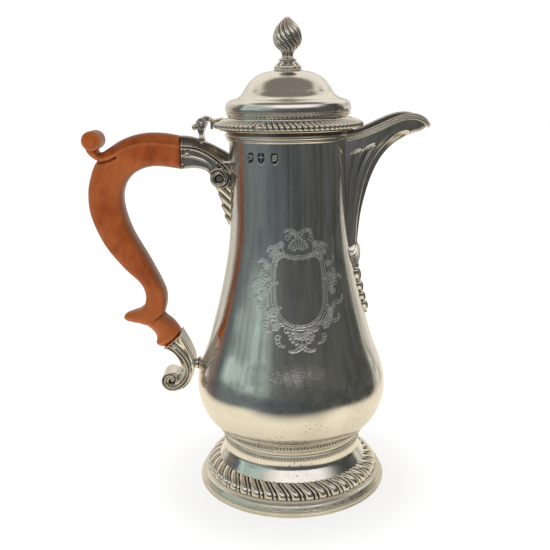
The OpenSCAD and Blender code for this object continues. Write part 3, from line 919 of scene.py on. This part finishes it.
def make_finial():
    """The pointed bud with swirling ribs on its fluted neck."""
    bud = curve([
        (4.0, 266.2), (3.35, 267.4), (3.3, 268.6), (4.0, 270.0), (5.3, 271.6), (6.6, 273.2),
        (7.6, 275.0), (8.1, 277.4), (7.9, 279.9), (7.0, 282.4), (5.9, 284.4), (4.6, 286.1),
        (3.1, 287.7), (1.6, 289.0), (0.02, TIP_Z - 0.2)], 9)
    outline = np.vstack([[(1.9, 253.6), (1.9, 264.8)], arc((4.6, 265.4), 0.65, -80, 80, 8), bud,
                         [(0.02, 253.6)]])
    def push(a, r, z):
        twist = np.where(z > 278, 3.0, 7.5) * (z - 278)
        rib = lobes(15 * (a + np.radians(twist)) / TURN, 0.03, 0.97) - 0.62
        flute = lobes(8 * a / TURN, 0.08, 0.92) - 0.6
        swell = 1.25 * smooth(z, 269.8, 274) * (1 - 0.85 * smooth(z, 281, 289.6))
        return (rib * swell + flute * 0.4 * between(z, 266.4, 269.4, 0.6)) * (r > 0.3) * (z > 265.2)
    turned_piece("finial_spiral", "finial", outline, 360, CAST, "lid", push, sharp=70, gain=0.8)


# ---- spout
SPOUT_COLUMNS = 257
FLUTES = [(0.175, 0.08, 0.705), (0.385, 0.085, 0.715), (0.77, 0.11, 0.785)]  # centre, half width, top


def flute_relief(s, v):
    """Sunk flutes with raised borders and arched tops, as a push along the normal."""
    across = np.cos(np.abs(v) * math.pi / 2)
    push = np.zeros(np.broadcast(s, v).shape)
    for centre, half, top in FLUTES:
        reach = np.hypot((across - centre) / half, np.clip(s - top, 0, 1) / (half * 0.7))
        push += 0.55 * bump_line(reach - 1.15, 0.26) - 1.0 * np.clip(1 - reach**2, 0, 1) ** 0.7
    return push * (0.3 + 0.7 * smooth(s, 0.0, 0.6)) * smooth(s, 0.0, 0.03)


def make_spout():
    """The fluted beak: an outer and an inner wall joined along their edges."""
    s, v = np.linspace(0, 1, 170)[:, None], np.linspace(-1, 1, SPOUT_COLUMNS)[None, :]
    outer, inner = spout_point(s, v, 0), spout_point(s, v, WALL)
    normal = np.cross(np.gradient(outer, axis=1), np.gradient(outer, axis=0))
    normal /= np.linalg.norm(normal, axis=-1)[..., None] + 1e-9
    normal *= np.sign(np.sum(normal[..., 0]))
    outer = outer + normal * flute_relief(s, v)[..., None]
    ring = np.concatenate([outer, inner[:, ::-1]], axis=1)
    rows, columns = ring.shape[:2]
    k = np.arange(SPOUT_COLUMNS - 1)
    ends = [np.stack([first + k, first + k + 1, first + columns - 2 - k, first + columns - 1 - k], 1)
            for first in (0, (rows - 1) * columns)]
    quads = np.vstack([grid_quads(rows, columns, False, True)] + ends)
    # Painted shade: a band along the keel in the middle of the outer wall, and the whole inner wall.
    ridge = 0.42 * bump_line(v[0], 0.3)
    painted_shade = np.tile(np.concatenate([ridge, np.full(SPOUT_COLUMNS, 0.75)]), (rows, 1))
    piece("spout_fluted", "spout", (ring.reshape(-1, 3), quads, []), CAST, sharp=55, gain=0.9,
          painted_shade=painted_shade)


def make_spout_lip():
    """A band of three reeds along the spout's edge, curling under at its two ends."""
    over = np.linspace(-1.0, 1.0, 181)
    path = spout_point(1.0, over, 0)
    ahead = np.gradient(path, axis=0)
    ahead /= np.linalg.norm(ahead, axis=1)[:, None]
    out = np.cross([0, 0, 1.0], ahead)
    out /= np.linalg.norm(out, axis=1)[:, None]
    out *= np.sign(out[len(over) // 2, 0])
    up = np.cross(out, ahead)
    up *= np.sign(up[:, 2])[:, None]
    section = np.vstack([
        [(-1.1, 0.9), (-1.1, -0.2), (-1.1, -1.5)], arc((0.0, -1.35), 0.6, -110, 55, 9),
        [(0.15, -0.7)], arc((0.25, 0.0), 0.75, -65, 70, 11), [(0.15, 0.7)],
        arc((-0.35, 1.15), 0.55, -15, 165, 9)])
    from_end = 1 - np.abs(over)
    size = 0.35 + 0.65 * np.sqrt(np.clip(1 - (1 - np.clip(from_end / 0.035, 0, 1))**2, 0, 1))
    size = (size * (1 + 0.25 * (1 - smooth(from_end, 0, 0.06))))[:, None, None]
    ring = (path[:, None] + size * (section[None, :, :1] * out[:, None]
                                    + section[None, :, 1:] * up[:, None]) - 0.4 * out[:, None])
    rows, columns = ring.shape[:2]
    caps = [list(range(columns)), list(range((rows - 1) * columns, rows * columns))]
    # Painted shade on the lip's inner face, towards the inside of the spout.
    painted_shade = np.tile(0.75 * (np.arange(columns) < 3), (rows, 1))
    quads = grid_quads(rows, columns, False, True)
    piece("spout_lip_reeded", "spout_lip", (ring.reshape(-1, 3), quads, caps), WORN, sharp=60,
          painted_shade=painted_shade)


# ---- cast pieces
def husk(x, y, z, place, size):
    """A bellflower: a middle petal between two side petals that lean outwards at the top."""
    cx, cz = place
    half_w, half_h, thick = size
    shape = ball(x, y, z, (cx, 0, cz), (thick, half_w * 0.5, half_h))
    for side in (-1, 1):
        lean = (z - cz) * 0.35 * side
        petal = ball(x, y - side * half_w * 0.55 - lean, z, (cx - thick * 0.25, 0, cz + half_h * 0.15),
                     (thick * 0.8, half_w * 0.46, half_h * 0.74))
        shape = np.minimum(shape, petal)
    return shape


def make_spout_drop():
    """A ribbed shell under the spout with a string of husks below it."""
    block = Block((35.5, -9.5, 108.5), (50.5, 9.5, 160.0), 0.28)
    x, y, z = block.x, block.y, block.z
    ribs = 0.75 * np.cos(TURN * (z - 141.5 + 0.12 * y * y) / 3.3)
    shell = ball(x, y, z, (float(body_r(150)) - 0.2, 0, 149.6), (5.2, 8.6, 9.4)) - ribs
    field = blend(shell, ball(x, y, z, (float(body_r(142)) + 1.2, 0, 141.0), (2.6, 4.6, 3.0)), 0.2)
    for cz, half_w, half_h, thick in [(134.4, 4.4, 5.4, 3.0), (126.9, 3.9, 4.4, 2.8),
                                      (120.4, 3.5, 4.0, 2.6), (114.6, 3.0, 3.8, 2.6)]:
        out = float(body_r(cz)) + 0.6
        field = np.minimum(field, husk(x, y, z, (out, cz), (half_w, half_h, thick)))
        field = np.minimum(field, ball(x, y, z, (out + 0.5, 0, cz - half_h), (1.5, 1.5, 1.1)))
    piece("spout_shell_and_husks", "spout_drop", block.mesh(block.outside_body(field)), CAST,
          sharp=75, spread=4)


UPPER_CROWN = curve([(-64.2, 222.3), (-57.5, 221.4), (-50.5, 218.8), (-43.5, 215.6),
                     (-36.2, 211.4)], 6)
UPPER_ARM = np.vstack([
    UPPER_CROWN, [(-33.0, 209.0), (-33.0, 189.6)],
    curve([(-37.4, 190.4), (-44, 193), (-48.0, 200.2), (-52, 202.6), (-57.4, 203.4),
           (-64.2, 202.8)], 6)])
UPPER_REED = curve([(-64.4, 216.2), (-55.9, 215.2), (-49.8, 212.7), (-43.7, 208.6), (-38.5, 203.6),
                    (-36.3, 198.7), (-37.4, 194.2), (-41.2, 191.9), (-45.2, 193.2), (-46.9, 196.8),
                    (-45.9, 200.4), (-42.6, 202.0), (-39.8, 200.6), (-38.9, 197.6)], 6)
UPPER_PANEL = curve([(-64.4, 210.9), (-57, 209.9), (-50.5, 207.6), (-46.2, 203.6)], 6)


def make_upper_socket():
    """The socket that holds the top of the handle: a crowned arm that curls into a volute."""
    block = Block((-65.0, -10.2, 187.5), (-32.5, 10.2, 223.5), 0.3)
    x, z = block.side
    eye = np.hypot(x - UPPER_VOLUTE[0], z - UPPER_VOLUTE[1])
    side = np.minimum(outline_distance(x, z, UPPER_ARM), eye - UPPER_VOLUTE_R)
    reed = path_distance(x, z, UPPER_REED)
    half = np.full(x.shape, SOCKET_HALF_W - 1.0)
    half -= 3.6 * np.clip(1 - path_distance(x, z, UPPER_CROWN) / 5.6, 0, 1) ** 1.5 * (eye > 6.0)
    half -= 1.3 * between(x, -40, -30, 4) * (eye > 6.4) * (z < 206)
    half += 1.0 * bump_line(reed - 0.8, 0.6) - 0.35 * bump_line(reed, 0.35)
    half += 0.4 * bump_line(path_distance(x, z, UPPER_PANEL), 0.6) * (eye > 6.6)
    half += 0.5 * bump_line(side + 0.9, 0.5) * (z < 206) * (x < -46)
    half += 0.9 * bump_line(x + 64.2, 0.7)
    hole = np.hypot(x + 42.0, z - 196.6)
    half += 0.7 * bump_line(hole - 3.7, 0.6) * smooth(z - x, 236.5, 240)
    half -= 2.8 * (1 - smooth(hole, 2.3, 3.1))
    field = np.maximum(rounded_plate(side, block.ys, half, 0.9), SOCKET_END_X - block.x)
    shape = block.mesh(block.outside_body(field))
    px, _, pz = shape[0].T
    # Painted dark reflection along the crown of the arm.
    painted_shade = 0.85 * (1 - smooth(path_distance(px, pz, UPPER_CROWN), 3.0, 5.8))
    piece("upper_socket_cast", "upper_socket", shape, CAST, sharp=70, spread=4, gain=1.0, painted_shade=painted_shade)


UPPER_LEAF = np.vstack([[(-33, 193.5)], curve([
    (-45.2, 193.0), (-43.9, 189.9), (-42.4, 187.0), (-41.6, 183.4), (-41.0, 179.4),
    (-40.1, 175.4), (-38.9, 171.4), (-37.3, 167.4), (-33, 166.6)], 5)])


def make_upper_leaf():
    """A tapering leaf with slanting folds down the neck below the upper socket."""
    block = Block((-47.0, -7.5, 166.5), (-33.5, 7.5, 194.5), 0.24)
    x, z = block.side
    half = 0.9 + 5.6 * smooth(z, 165, 194)
    field = rounded_plate(outline_distance(x, z, UPPER_LEAF), block.ys, half, 1.3)
    fold = block.z - 0.55 * np.abs(block.y) + 0.9 * (block.x + 40)
    field = field + 0.42 * np.cos(TURN * fold / 4.6) * smooth(block.z, 165, 172)
    field = np.maximum(field, np.abs(block.z - 180.6) - 13.0)
    piece("upper_socket_husks", "upper_socket_leaf", block.mesh(block.outside_body(field)), CAST,
          sharp=75, spread=4)


LOWER_ARM = np.vstack([
    curve([(-80.3, 90.3), (-74.4, 86.8), (-70.6, 81), (-69.4, 76.4), (-71.2, 73.4), (-75, 73.2)], 6),
    curve([(-76, 61.4), (-72, 61.6), (-67.6, 63.8), (-63.8, 68.6), (-61.6, 75.2), (-61.2, 82),
           (-64.6, 91.2), (-69.2, 99.9)], 6)])
LOWER_REED = curve([(-76.2, 92.8), (-72.4, 89.6), (-68.6, 85.4), (-65.9, 80.8), (-64.9, 75.6),
                    (-66.2, 70.2), (-69.6, 65.4), (-74.2, 63.0), (-78.8, 63.6), (-81.4, 67.0),
                    (-81.0, 71.0), (-77.8, 73.0), (-74.6, 71.8), (-73.6, 68.8)], 6)
LOWER_RIDGE = curve([(-70.2, 99.2), (-67.4, 93.7), (-64.6, 87.4), (-62.6, 81.6), (-62.0, 78)], 6)


def make_lower_socket():
    """The socket that holds the bottom of the handle: a reeded arm that ends in a volute."""
    block = Block((-85.0, -10.2, 58.6), (-58.0, 10.2, 102.5), 0.3)
    x, z = block.side
    eye = np.hypot(x - LOWER_VOLUTE[0], z - LOWER_VOLUTE[1])
    side = np.minimum(outline_distance(x, z, LOWER_ARM), eye - LOWER_VOLUTE_R)
    reed, ridge = path_distance(x, z, LOWER_REED), path_distance(x, z, LOWER_RIDGE)
    second_reed = path_distance(x, z, LOWER_REED[:25] + (2.6, 1.2))
    collar = path_distance(x, z, [(-80.3, 90.3), (-75.2, 94.8), (-69.2, 99.9)])
    half = np.full(x.shape, SOCKET_HALF_W - 1.0)
    half += 0.9 * bump_line(reed - 0.85, 0.6) - 0.3 * bump_line(reed, 0.35)
    half += 0.9 * bump_line(ridge, 1.2) * smooth(z, 74, 80)
    half -= 0.35 * bump_line(second_reed, 1.0) * smooth(z, 76, 82)
    half += 0.4 * bump_line(side + 0.8, 0.5) * (z > 74) * (x < -69)
    half -= 2.6 * (1 - smooth(np.hypot(x + 76.2, z - 67.9), 1.5, 2.4))
    half -= 1.2 * (1 - smooth(z, 60, 80)) * np.clip((eye - 4) / 8, 0, 1)
    half += 0.6 * bump_line(collar - 0.6, 0.6)
    shape = block.mesh(rounded_plate(side, block.ys, half, 0.9))
    px, py, pz = shape[0].T
    # Painted shade on the edge that faces the body, short of the two side faces.
    flank = 1 - smooth(path_distance(px, pz, [(-69.2, 99.9), (-64.6, 91.2), (-61.2, 82)]), 1.2, 3.2)
    painted_shade = 0.75 * flank * (1 - smooth(np.abs(py), 6.6, 8.6))
    piece("lower_socket_cast", "lower_socket", shape, CAST, sharp=70, spread=4, gain=1.0, painted_shade=painted_shade)


def make_stub():
    """The ball and small rosette that join the lower socket to the body."""
    block = Block((-64.5, -6.5, 69.5), (-54.5, 6.5, 85.5), 0.22)
    x, y, z = block.x, block.y, block.z
    bar = np.maximum(np.hypot(y, z - 77.6) - 2.0, -63.6 - x)
    knob = ball(x, y, z, (-60.2, 0, 77.8), (2.6, 3.7, 3.7))
    plate = ball(x, y, z, (-float(body_r(77.4)) - 0.1, 0, 77.4), (1.3, 4.4, 5.0))
    field = block.outside_body(blend(blend(bar, knob, 0.5), plate, 0.5), sunk=0.4)
    piece("lower_socket_knob", "lower_socket_stub", block.mesh(field), CAST, sharp=75)


def make_pin(name, node, place, radius, half_length):
    """A turned pin along Y with low domed heads."""
    head = radius * 1.1
    outline = np.vstack([
        [(0.01, -half_length - 0.35)],
        curve([(head * 0.7, -half_length - 0.2), (head, -half_length + 0.2)], 3),
        [(radius, -half_length + 0.25), (radius, half_length - 0.25)],
        curve([(head, half_length - 0.2), (head * 0.7, half_length + 0.2)], 3),
        [(0.01, half_length + 0.35)]])
    points, quads, caps = turned(outline, around(32))
    points = np.column_stack([points[:, 0] + place[0], points[:, 2], points[:, 1] + place[1]])
    piece(name, node, (points, quads, caps), PLAIN)


def make_pins():
    """The two rivets through the handle's sockets, and the hinge's pin."""
    make_pin("upper_pin_domed", "upper_handle_pin", UPPER_PIN, PIN_R, SOCKET_HALF_W + 0.1)
    make_pin("lower_pin_domed", "lower_handle_pin", LOWER_PIN, PIN_R, SOCKET_HALF_W + 0.1)
    make_pin("hinge_pin_domed", "hinge_pin", HINGE, HINGE_PIN_R, HINGE_HALF_W + 0.3)


def make_hinge_bracket():
    """Two outer knuckles with carved faces on a leafy stem."""
    block = Block((-59.0, -7.6, 216.0), (-46.5, 7.6, 234.0), 0.2)
    x, y, z = block.x, block.y, block.z
    hx, hz = HINGE
    reach = np.hypot(x - hx, z - hz)
    petals = np.abs(np.cos(5 * np.arctan2(z - hz, x - hx)))
    middle = KNUCKLE_W / 2 + 0.3
    face = np.abs(np.abs(y) - middle - KNUCKLE_W / 2) - KNUCKLE_W / 2 - 0.05
    face = face + 0.4 * (1 - petals) * between(reach, 1.9, 3.0, 0.3)
    drum = np.maximum(reach - KNUCKLE_R - 0.175 * petals * smooth(reach, 1.2, 2.4), face)
    waist = 1.25 + 0.85 * smooth(np.abs(z - 222.4), 0.3, 4.0)
    stem = np.maximum(np.abs(x - hx + 0.4) - waist, np.abs(y) - (4.3 + 1.9 * smooth(z, 219, 225)))
    stem = np.maximum(stem, z - 228.4)
    foot = ball(x, y, z, (hx - 0.9, 0, 217.8), (3.0, 5.6, 1.7))
    bracket = blend(drum, blend(stem, foot, 0.9), 0.6)
    for side in (-1, 1):
        bump = ball(x, y, z, (hx - 4.2, side * 4.4, 227.6), (1.7, 1.9, 1.8))
        bracket = blend(bracket, bump, 0.5)
    groove = np.maximum(np.abs(np.abs(y) - 2.2) - 0.35, np.abs(z - 222) - 2.6)
    bracket = carve(bracket, np.maximum(groove, 0.9 - np.abs(x - hx)), 0.3)
    bracket = np.maximum(bracket, -np.maximum(reach - KNUCKLE_R - 0.55, np.abs(y) - middle))
    piece("hinge_bracket_cast", "hinge_bracket", block.mesh(bracket), CAST, sharp=75, spread=4)


def make_hinge_arm():
    """The middle knuckle and the leaf-shaped strap that carries the lid."""
    block = Block((-55.5, -6.6, 224.6), (-37.4, 6.6, 235.2), 0.2)
    x, y, z = block.x, block.y, block.z
    hx, hz = HINGE
    reach = np.hypot(x - hx, z - hz)
    knuckle = np.maximum(reach - KNUCKLE_R, np.abs(y) - KNUCKLE_W / 2)
    wide = KNUCKLE_W / 2 - 0.1 + 3.2 * smooth(x, -47.6, -42)
    spine = path_distance(x, z, curve([(hx, 231.3), (-49.9, 232.5), (-47.8, 232.2), (-45.9, 230.9),
                                       (-44.2, 230.4), (-42.4, 231.4), (-39.6, 231.9)], 5))
    thick = 1.15 - 0.45 * smooth(x, -45.5, -42)
    strap = np.maximum(spine - thick - 0.25 * np.cos(np.pi * np.clip(y / wide, -1, 1)),
                       np.abs(y) - wide)
    strap = strap + 0.22 * bump_line(np.abs(y) - wide * 0.5, 0.45)
    lug = np.maximum(np.abs(x + 45.8) - 0.75, np.maximum(np.abs(y) - 1.7, np.abs(z - 228.6) - 2.6))
    arm = blend(blend(knuckle, strap, 0.5), lug, 0.4)
    arm = np.maximum(arm, np.minimum(np.abs(y) - KNUCKLE_W / 2, -(reach - KNUCKLE_R - 0.85)))
    piece("hinge_strap_cast", "lid_hinge_arm", block.mesh(arm), CAST, "lid", sharp=75, spread=4)


# ---- handle
HANDLE_BACK = np.vstack([
    curve([(-64.35, 222.2), (-74, 224), (-84, 224.4), (-93, 223), (-101, 220), (-107.5, 216),
           (-111.8, 213.4), (-114.4, 213.2), (-115.4, 216.4)], 8),
    curve([(-122.3, 217.4), (-121.4, 213.8), (-118.8, 210.6), (-115.4, 208.2)], 8),
    curve([(-116.6, 206.6), (-119.6, 200), (-122.2, 189.5), (-121.4, 175), (-114.2, 157),
           (-103, 141.9), (-93.4, 132), (-90.4, 124.5), (-91.4, 118.2), (-95.0, 114.8),
           (-100, 113.3), (-103.8, 111.8), (-105.2, 109.4), (-103.4, 107.3), (-99.2, 106.3),
           (-94.6, 105.8), (-90.6, 104.2), (-87.3, 101.4), (-85.3, 98.4), (-84.8, 95.3),
           (-85.3, 92.9), (-83.4, 90.9), (-80.3, 90.3)], 8)])
HANDLE_JOINT = [(-75.2, 94.8)]         # middle of the end that meets the lower socket
HANDLE_INNER = curve([(-69.2, 99.9), (-71.4, 103.8), (-74.4, 107.6), (-77.6, 110.2), (-78.9, 112.8),
                      (-77.9, 117.6), (-77.6, 124.5), (-80, 132.5), (-87.4, 148), (-96.8, 166),
                      (-101, 182), (-99.4, 193.2), (-92.6, 201), (-81, 204.6), (-64.35, 202.6)], 8)
CREASE = curve([(-76.6, 115.2), (-79.9, 112.3), (-84.1, 109.6), (-87.4, 107.4), (-90.4, 106.2)], 6)
NOTCH = [(-117.0, 207.9), (-112.4, 207.4), (-107.0, 208.6), (-103.4, 210.4)]
ARRIS_TOP = curve([(-64.4, 216.6), (-76, 218.4), (-88, 218.4), (-98, 215.4), (-106, 211.4),
                   (-112.4, 209.6)], 6)


def make_handle():
    """The carved double-scroll handle: flat sides, a bevelled back, a thumb scroll and a spur."""
    block = Block((-125.0, -10.4, 85.0), (-63.4, 10.4, 228.0), 0.5)
    x, z = block.side
    side = outline_distance(x, z, np.vstack([HANDLE_BACK, HANDLE_JOINT, HANDLE_INNER]))
    to_back, to_inner = path_distance(x, z, HANDLE_BACK), path_distance(x, z, HANDLE_INNER)
    across = (to_inner - to_back) / (to_inner + to_back + 1e-6)    # -1 on the inner side, 1 on the back
    crease = path_distance(x, z, CREASE)
    beyond = smooth(z - (115.2 + 0.66 * (x + 76.6)), -0.4, 0.4)    # 0 on the leg, 1 above the crease
    upper = smooth(z, 150, 205)
    half = np.full(x.shape, HANDLE_HALF_W)
    half -= 2.9 * np.clip((across - 0.3) / 0.7, 0, 1) ** 1.2 * upper
    half -= 1.8 * np.clip((across - 0.1) / 0.9, 0, 1) ** 2 * (1 - upper) * beyond
    half -= 1.4 * np.clip((-across - 0.3) / 0.7, 0, 1) ** 1.6
    half += 0.75 * bump_line(path_distance(x, z, ARRIS_TOP), 1.0)
    half -= 2.6 * smooth(-x, 90, 104) * (1 - smooth(z, 116, 122))
    fades = smooth(x, -89.5, -83)
    half += (1 - beyond) * (0.9 - 3.0 * across**2 - 1.5 * bump_line(crease, 1.6) * fades)
    half -= 0.45 * bump_line(crease, 0.6) * fades
    half += 0.5 * bump_line(path_distance(x, z, [(-84.8, 93.4), (-75.6, 96.4), (-70.4, 102)]), 1.4)
    half -= 1.8 * bump_line(path_distance(x, z, NOTCH), 0.7)
    radius = 2.8 + 1.6 * smooth(z, 112, 135) + 1.4 * (1 - beyond)
    radius = radius - 1.4 * smooth(z, 196, 206) * (x < -106)
    field = rounded_plate(side, block.ys, half, radius[:, None, :])
    disc = np.hypot(x - SCROLL[0], z - SCROLL[1])
    roll = rounded_plate(disc - SCROLL_R, block.ys, 9.0 - 0.12 * np.clip(disc, 0, 4), 1.3)
    shape = block.mesh(np.maximum(blend(field, roll, 0.7), block.x - WOOD_END_X))
    px, py, pz = shape[0].T
    # Painted shade along the inner edge that faces the pot, above the leg and short of the sides.
    inner = (1 - smooth(path_distance(px, pz, HANDLE_INNER), 1.0, 4.0)) * smooth(pz, 100, 112)
    piece("handle_carved", "handle", shape, WOOD, sharp=80, spread=5, gain=1.1,
          painted_shade=inner * (1 - smooth(np.abs(py), 5.0, 8.0)))


# ---- carried-over CAD nodes
def finish_cad_nodes():
    """Gives the nut under the finial, which stays from the CAD model, its silver."""
    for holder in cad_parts["finial_nut"].material_slots:
        holder.material = PLAIN[0]


# ---- light, floor and camera
# The table's size in the silver's reflections and the camera are in metres.
TABLE_FRONT = -0.165
TABLE_HALF_W = 0.21
FLOOR_R = 3.0
FLOOR_GAP = 0.0002                     # keeps the floor from touching the foot
CAMERA_AT = (-0.0093, -0.4838, 0.2542)
CAMERA_PITCH = math.radians(13.8165)
CAMERA_ROLL = math.radians(-0.85)
CAMERA_LENS = 51.98
WHITE = (1, 1, 1)
CREAM = (0.80, 0.77, 0.70)


def at(degrees):
    """Place in a ramp of a direction seen from the pot: 0 is the front, 90 the spout's side."""
    return degrees / 360 + 0.5


def room_low(n, azimuth):
    """The dim room up to table height, seen from the pot."""
    return n.ramp(
        azimuth, (at(-128), CREAM), (at(-122), (0.26, 0.19, 0.155)), (at(-108), (0.20, 0.13, 0.11)),
        (at(-103), (0.09, 0.115, 0.125)), (at(-88), (0.15, 0.19, 0.20)), (at(-60), (0.17, 0.21, 0.22)),
        (at(-42), (0.13, 0.155, 0.175)), (at(-22), (0.08, 0.095, 0.11)), (at(0), (0.055, 0.065, 0.072)),
        (at(40), (0.06, 0.065, 0.062)), (at(80), (0.058, 0.062, 0.05)), (at(108), (0.045, 0.048, 0.035)),
        (at(116), (0.05, 0.05, 0.04)), (at(124), CREAM))


def room_high(n, azimuth):
    """The room above table height, with a pale window on the handle's side."""
    return n.ramp(
        azimuth, (at(-128), CREAM), (at(-122), (0.24, 0.17, 0.14)), (at(-108), (0.09, 0.10, 0.10)),
        (at(-100), (0.10, 0.15, 0.16)), (at(-93), (0.60, 0.76, 0.72)), (at(-38), (0.46, 0.58, 0.55)),
        (at(-26), (0.15, 0.17, 0.16)), (at(-8), (0.10, 0.105, 0.10)), (at(20), (0.075, 0.08, 0.075)),
        (at(70), (0.085, 0.09, 0.075)), (at(108), (0.05, 0.05, 0.04)), (at(116), (0.05, 0.05, 0.04)),
        (at(124), CREAM))


def make_world():
    """A pale sweep behind and beside the pot, and a dim room in front, which the silver mirrors."""
    world = bpy.data.worlds.new("studio")
    bpy.context.scene.world = world
    n = Nodes(world)
    direction = n.add("ShaderNodeTexCoord").outputs["Generated"]
    x, y, z = n.axes(direction)
    azimuth = n.math("ARCTAN2", x, n.times(y, -1.0))
    azimuth = n.math("ADD", n.math("DIVIDE", azimuth, TURN), 0.5)
    height = n.math("DIVIDE", n.math("ARCSINE", z), math.pi / 2)       # 0 level, 1 overhead
    wave = n.noise(direction, 2.2, 2.0)
    azimuth = n.math("ADD", azimuth, n.times(n.math("SUBTRACT", wave, 0.5), 0.03))
    cloudy = n.noise(direction, 5.0, 4.0, 0.6)
    level = n.math("ADD", height, n.times(n.math("SUBTRACT", cloudy, 0.5), 0.10))
    tall = n.add("ShaderNodeMapping", vector_type="POINT")
    n.put(tall.inputs["Vector"], direction)
    tall.inputs["Scale"].default_value = (1, 1, 0.12)
    streak = n.noise(tall.outputs[0], 22.0, 3.0, 0.6)
    shapes = n.noise(direction, 10.0, 4.0, 0.62)
    overhead = n.add("ShaderNodeVectorMath", operation="DOT_PRODUCT")
    n.put(overhead.inputs[0], direction)
    overhead.inputs[1].default_value = Vector((0.02, -0.46, 0.888)).normalized()
    ceiling = n.times(n.spread(overhead.outputs["Value"], 0.46, 0.70), n.spread(height, 0.42, 0.56))
    behind = n.times(n.spread(y, 0.22, 0.5), n.spread(height, 0.1, 0.3))
    skylight = n.times(n.spread(height, 0.26, 0.33), n.spread(height, 0.57, 0.49),
                       n.spread(azimuth, at(-60), at(-15)), n.spread(azimuth, at(86), at(42)))
    seen = n.add("ShaderNodeLightPath").outputs["Is Camera Ray"]
    colour = n.layers(
        room_low(n, azimuth),
        (n.spread(level, 0.03, 0.075), room_high(n, azimuth)),
        (n.spread(streak, 0.54, 0.68, 0.0, 0.22), (0.30, 0.35, 0.36)),
        (n.spread(cloudy, 0.48, 0.66, 0.0, 0.6), (0.03, 0.034, 0.034)),
        (n.spread(shapes, 0.51, 0.58, 0.0, 0.5), (0.15, 0.165, 0.195)),
        (n.spread(height, 0.34, 0.46), CREAM),
        (ceiling, (0.225, 0.205, 0.185)),
        (behind, (0.92, 0.88, 0.80)),
        (skylight, (1.12, 1.10, 1.10)),
        (seen, WHITE))
    background = n.add("ShaderNodeBackground")
    n.put(background.inputs["Color"], colour)
    n.output("World", background.outputs[0])


def make_floor():
    """A wide pale floor that runs out to white, and that the silver sees only as far as its edge."""
    bm = bmesh.new()
    bmesh.ops.create_circle(bm, cap_ends=True, segments=96, radius=FLOOR_R)
    mesh = bpy.data.meshes.new("floor")
    bm.to_mesh(mesh)
    bm.free()
    floor = bpy.data.objects.new("floor", mesh)
    floor.location.z = -FLOOR_GAP
    bpy.context.scene.collection.objects.link(floor)
    material = bpy.data.materials.new("floor_paper")
    mesh.materials.append(material)
    n = Nodes(material)
    where = n.add("ShaderNodeTexCoord").outputs["Object"]
    x, y, _ = n.axes(where)
    mirrored = n.add("ShaderNodeLightPath").outputs["Is Glossy Ray"]
    colour = n.mix(mirrored, (0.97, 0.97, 0.97), (0.88, 0.81, 0.66))
    diffuse = n.add("ShaderNodeBsdfDiffuse")
    n.put(diffuse.inputs["Color"], colour)
    glow = n.add("ShaderNodeEmission")
    n.put(glow.inputs["Color"], colour)
    n.put(glow.inputs["Strength"], 1.12)
    distance = n.add("ShaderNodeVectorMath", operation="LENGTH")
    n.put(distance.inputs[0], where)
    fade = n.spread(distance.outputs["Value"], 0.058, 0.125, 0.72, 1.0)
    lit = n.blend(fade, diffuse.outputs[0], glow.outputs[0])
    on_table = n.times(
        n.spread(y, TABLE_FRONT - 0.08, TABLE_FRONT + 0.06),
        n.spread(n.math("ABSOLUTE", x), TABLE_HALF_W + 0.06, TABLE_HALF_W - 0.04))
    hidden = n.times(n.math("SUBTRACT", 1.0, on_table), mirrored)
    n.output("Material", n.blend(hidden, lit, n.add("ShaderNodeBsdfTransparent").outputs[0]))


def make_camera():
    """The camera stands in front and a little above, and leans by under a degree."""
    right = Vector((1, 0, 0))
    forward = Vector((0, math.cos(CAMERA_PITCH), -math.sin(CAMERA_PITCH)))
    up = right.cross(forward)
    across = right * math.cos(CAMERA_ROLL) + up * math.sin(CAMERA_ROLL)
    top = up * math.cos(CAMERA_ROLL) - right * math.sin(CAMERA_ROLL)
    data = bpy.data.cameras.new("camera")
    data.sensor_width = 36.0
    data.lens = CAMERA_LENS
    camera = bpy.data.objects.new("camera", data)
    axes = Matrix((across, top, -forward)).transposed().to_4x4()
    camera.matrix_world = Matrix.Translation(CAMERA_AT) @ axes
    bpy.context.scene.collection.objects.link(camera)
    bpy.context.scene.camera = camera
    bpy.context.scene.view_settings.view_transform = "Standard"


make_camera()
make_world()
make_floor()
make_body()
make_rim_moulding()
make_spout()
make_spout_lip()
make_spout_drop()
make_foot_collar()
make_foot_dome()
make_foot_gadroon()
make_foot_rim()
make_upper_socket()
make_upper_leaf()
make_lower_socket()
make_stub()
make_handle()
make_pins()
make_hinge_bracket()
make_hinge_arm()
make_lid()
make_lid_gadroon()
make_lid_bezel()
make_finial_base()
make_finial()
finish_cad_nodes()
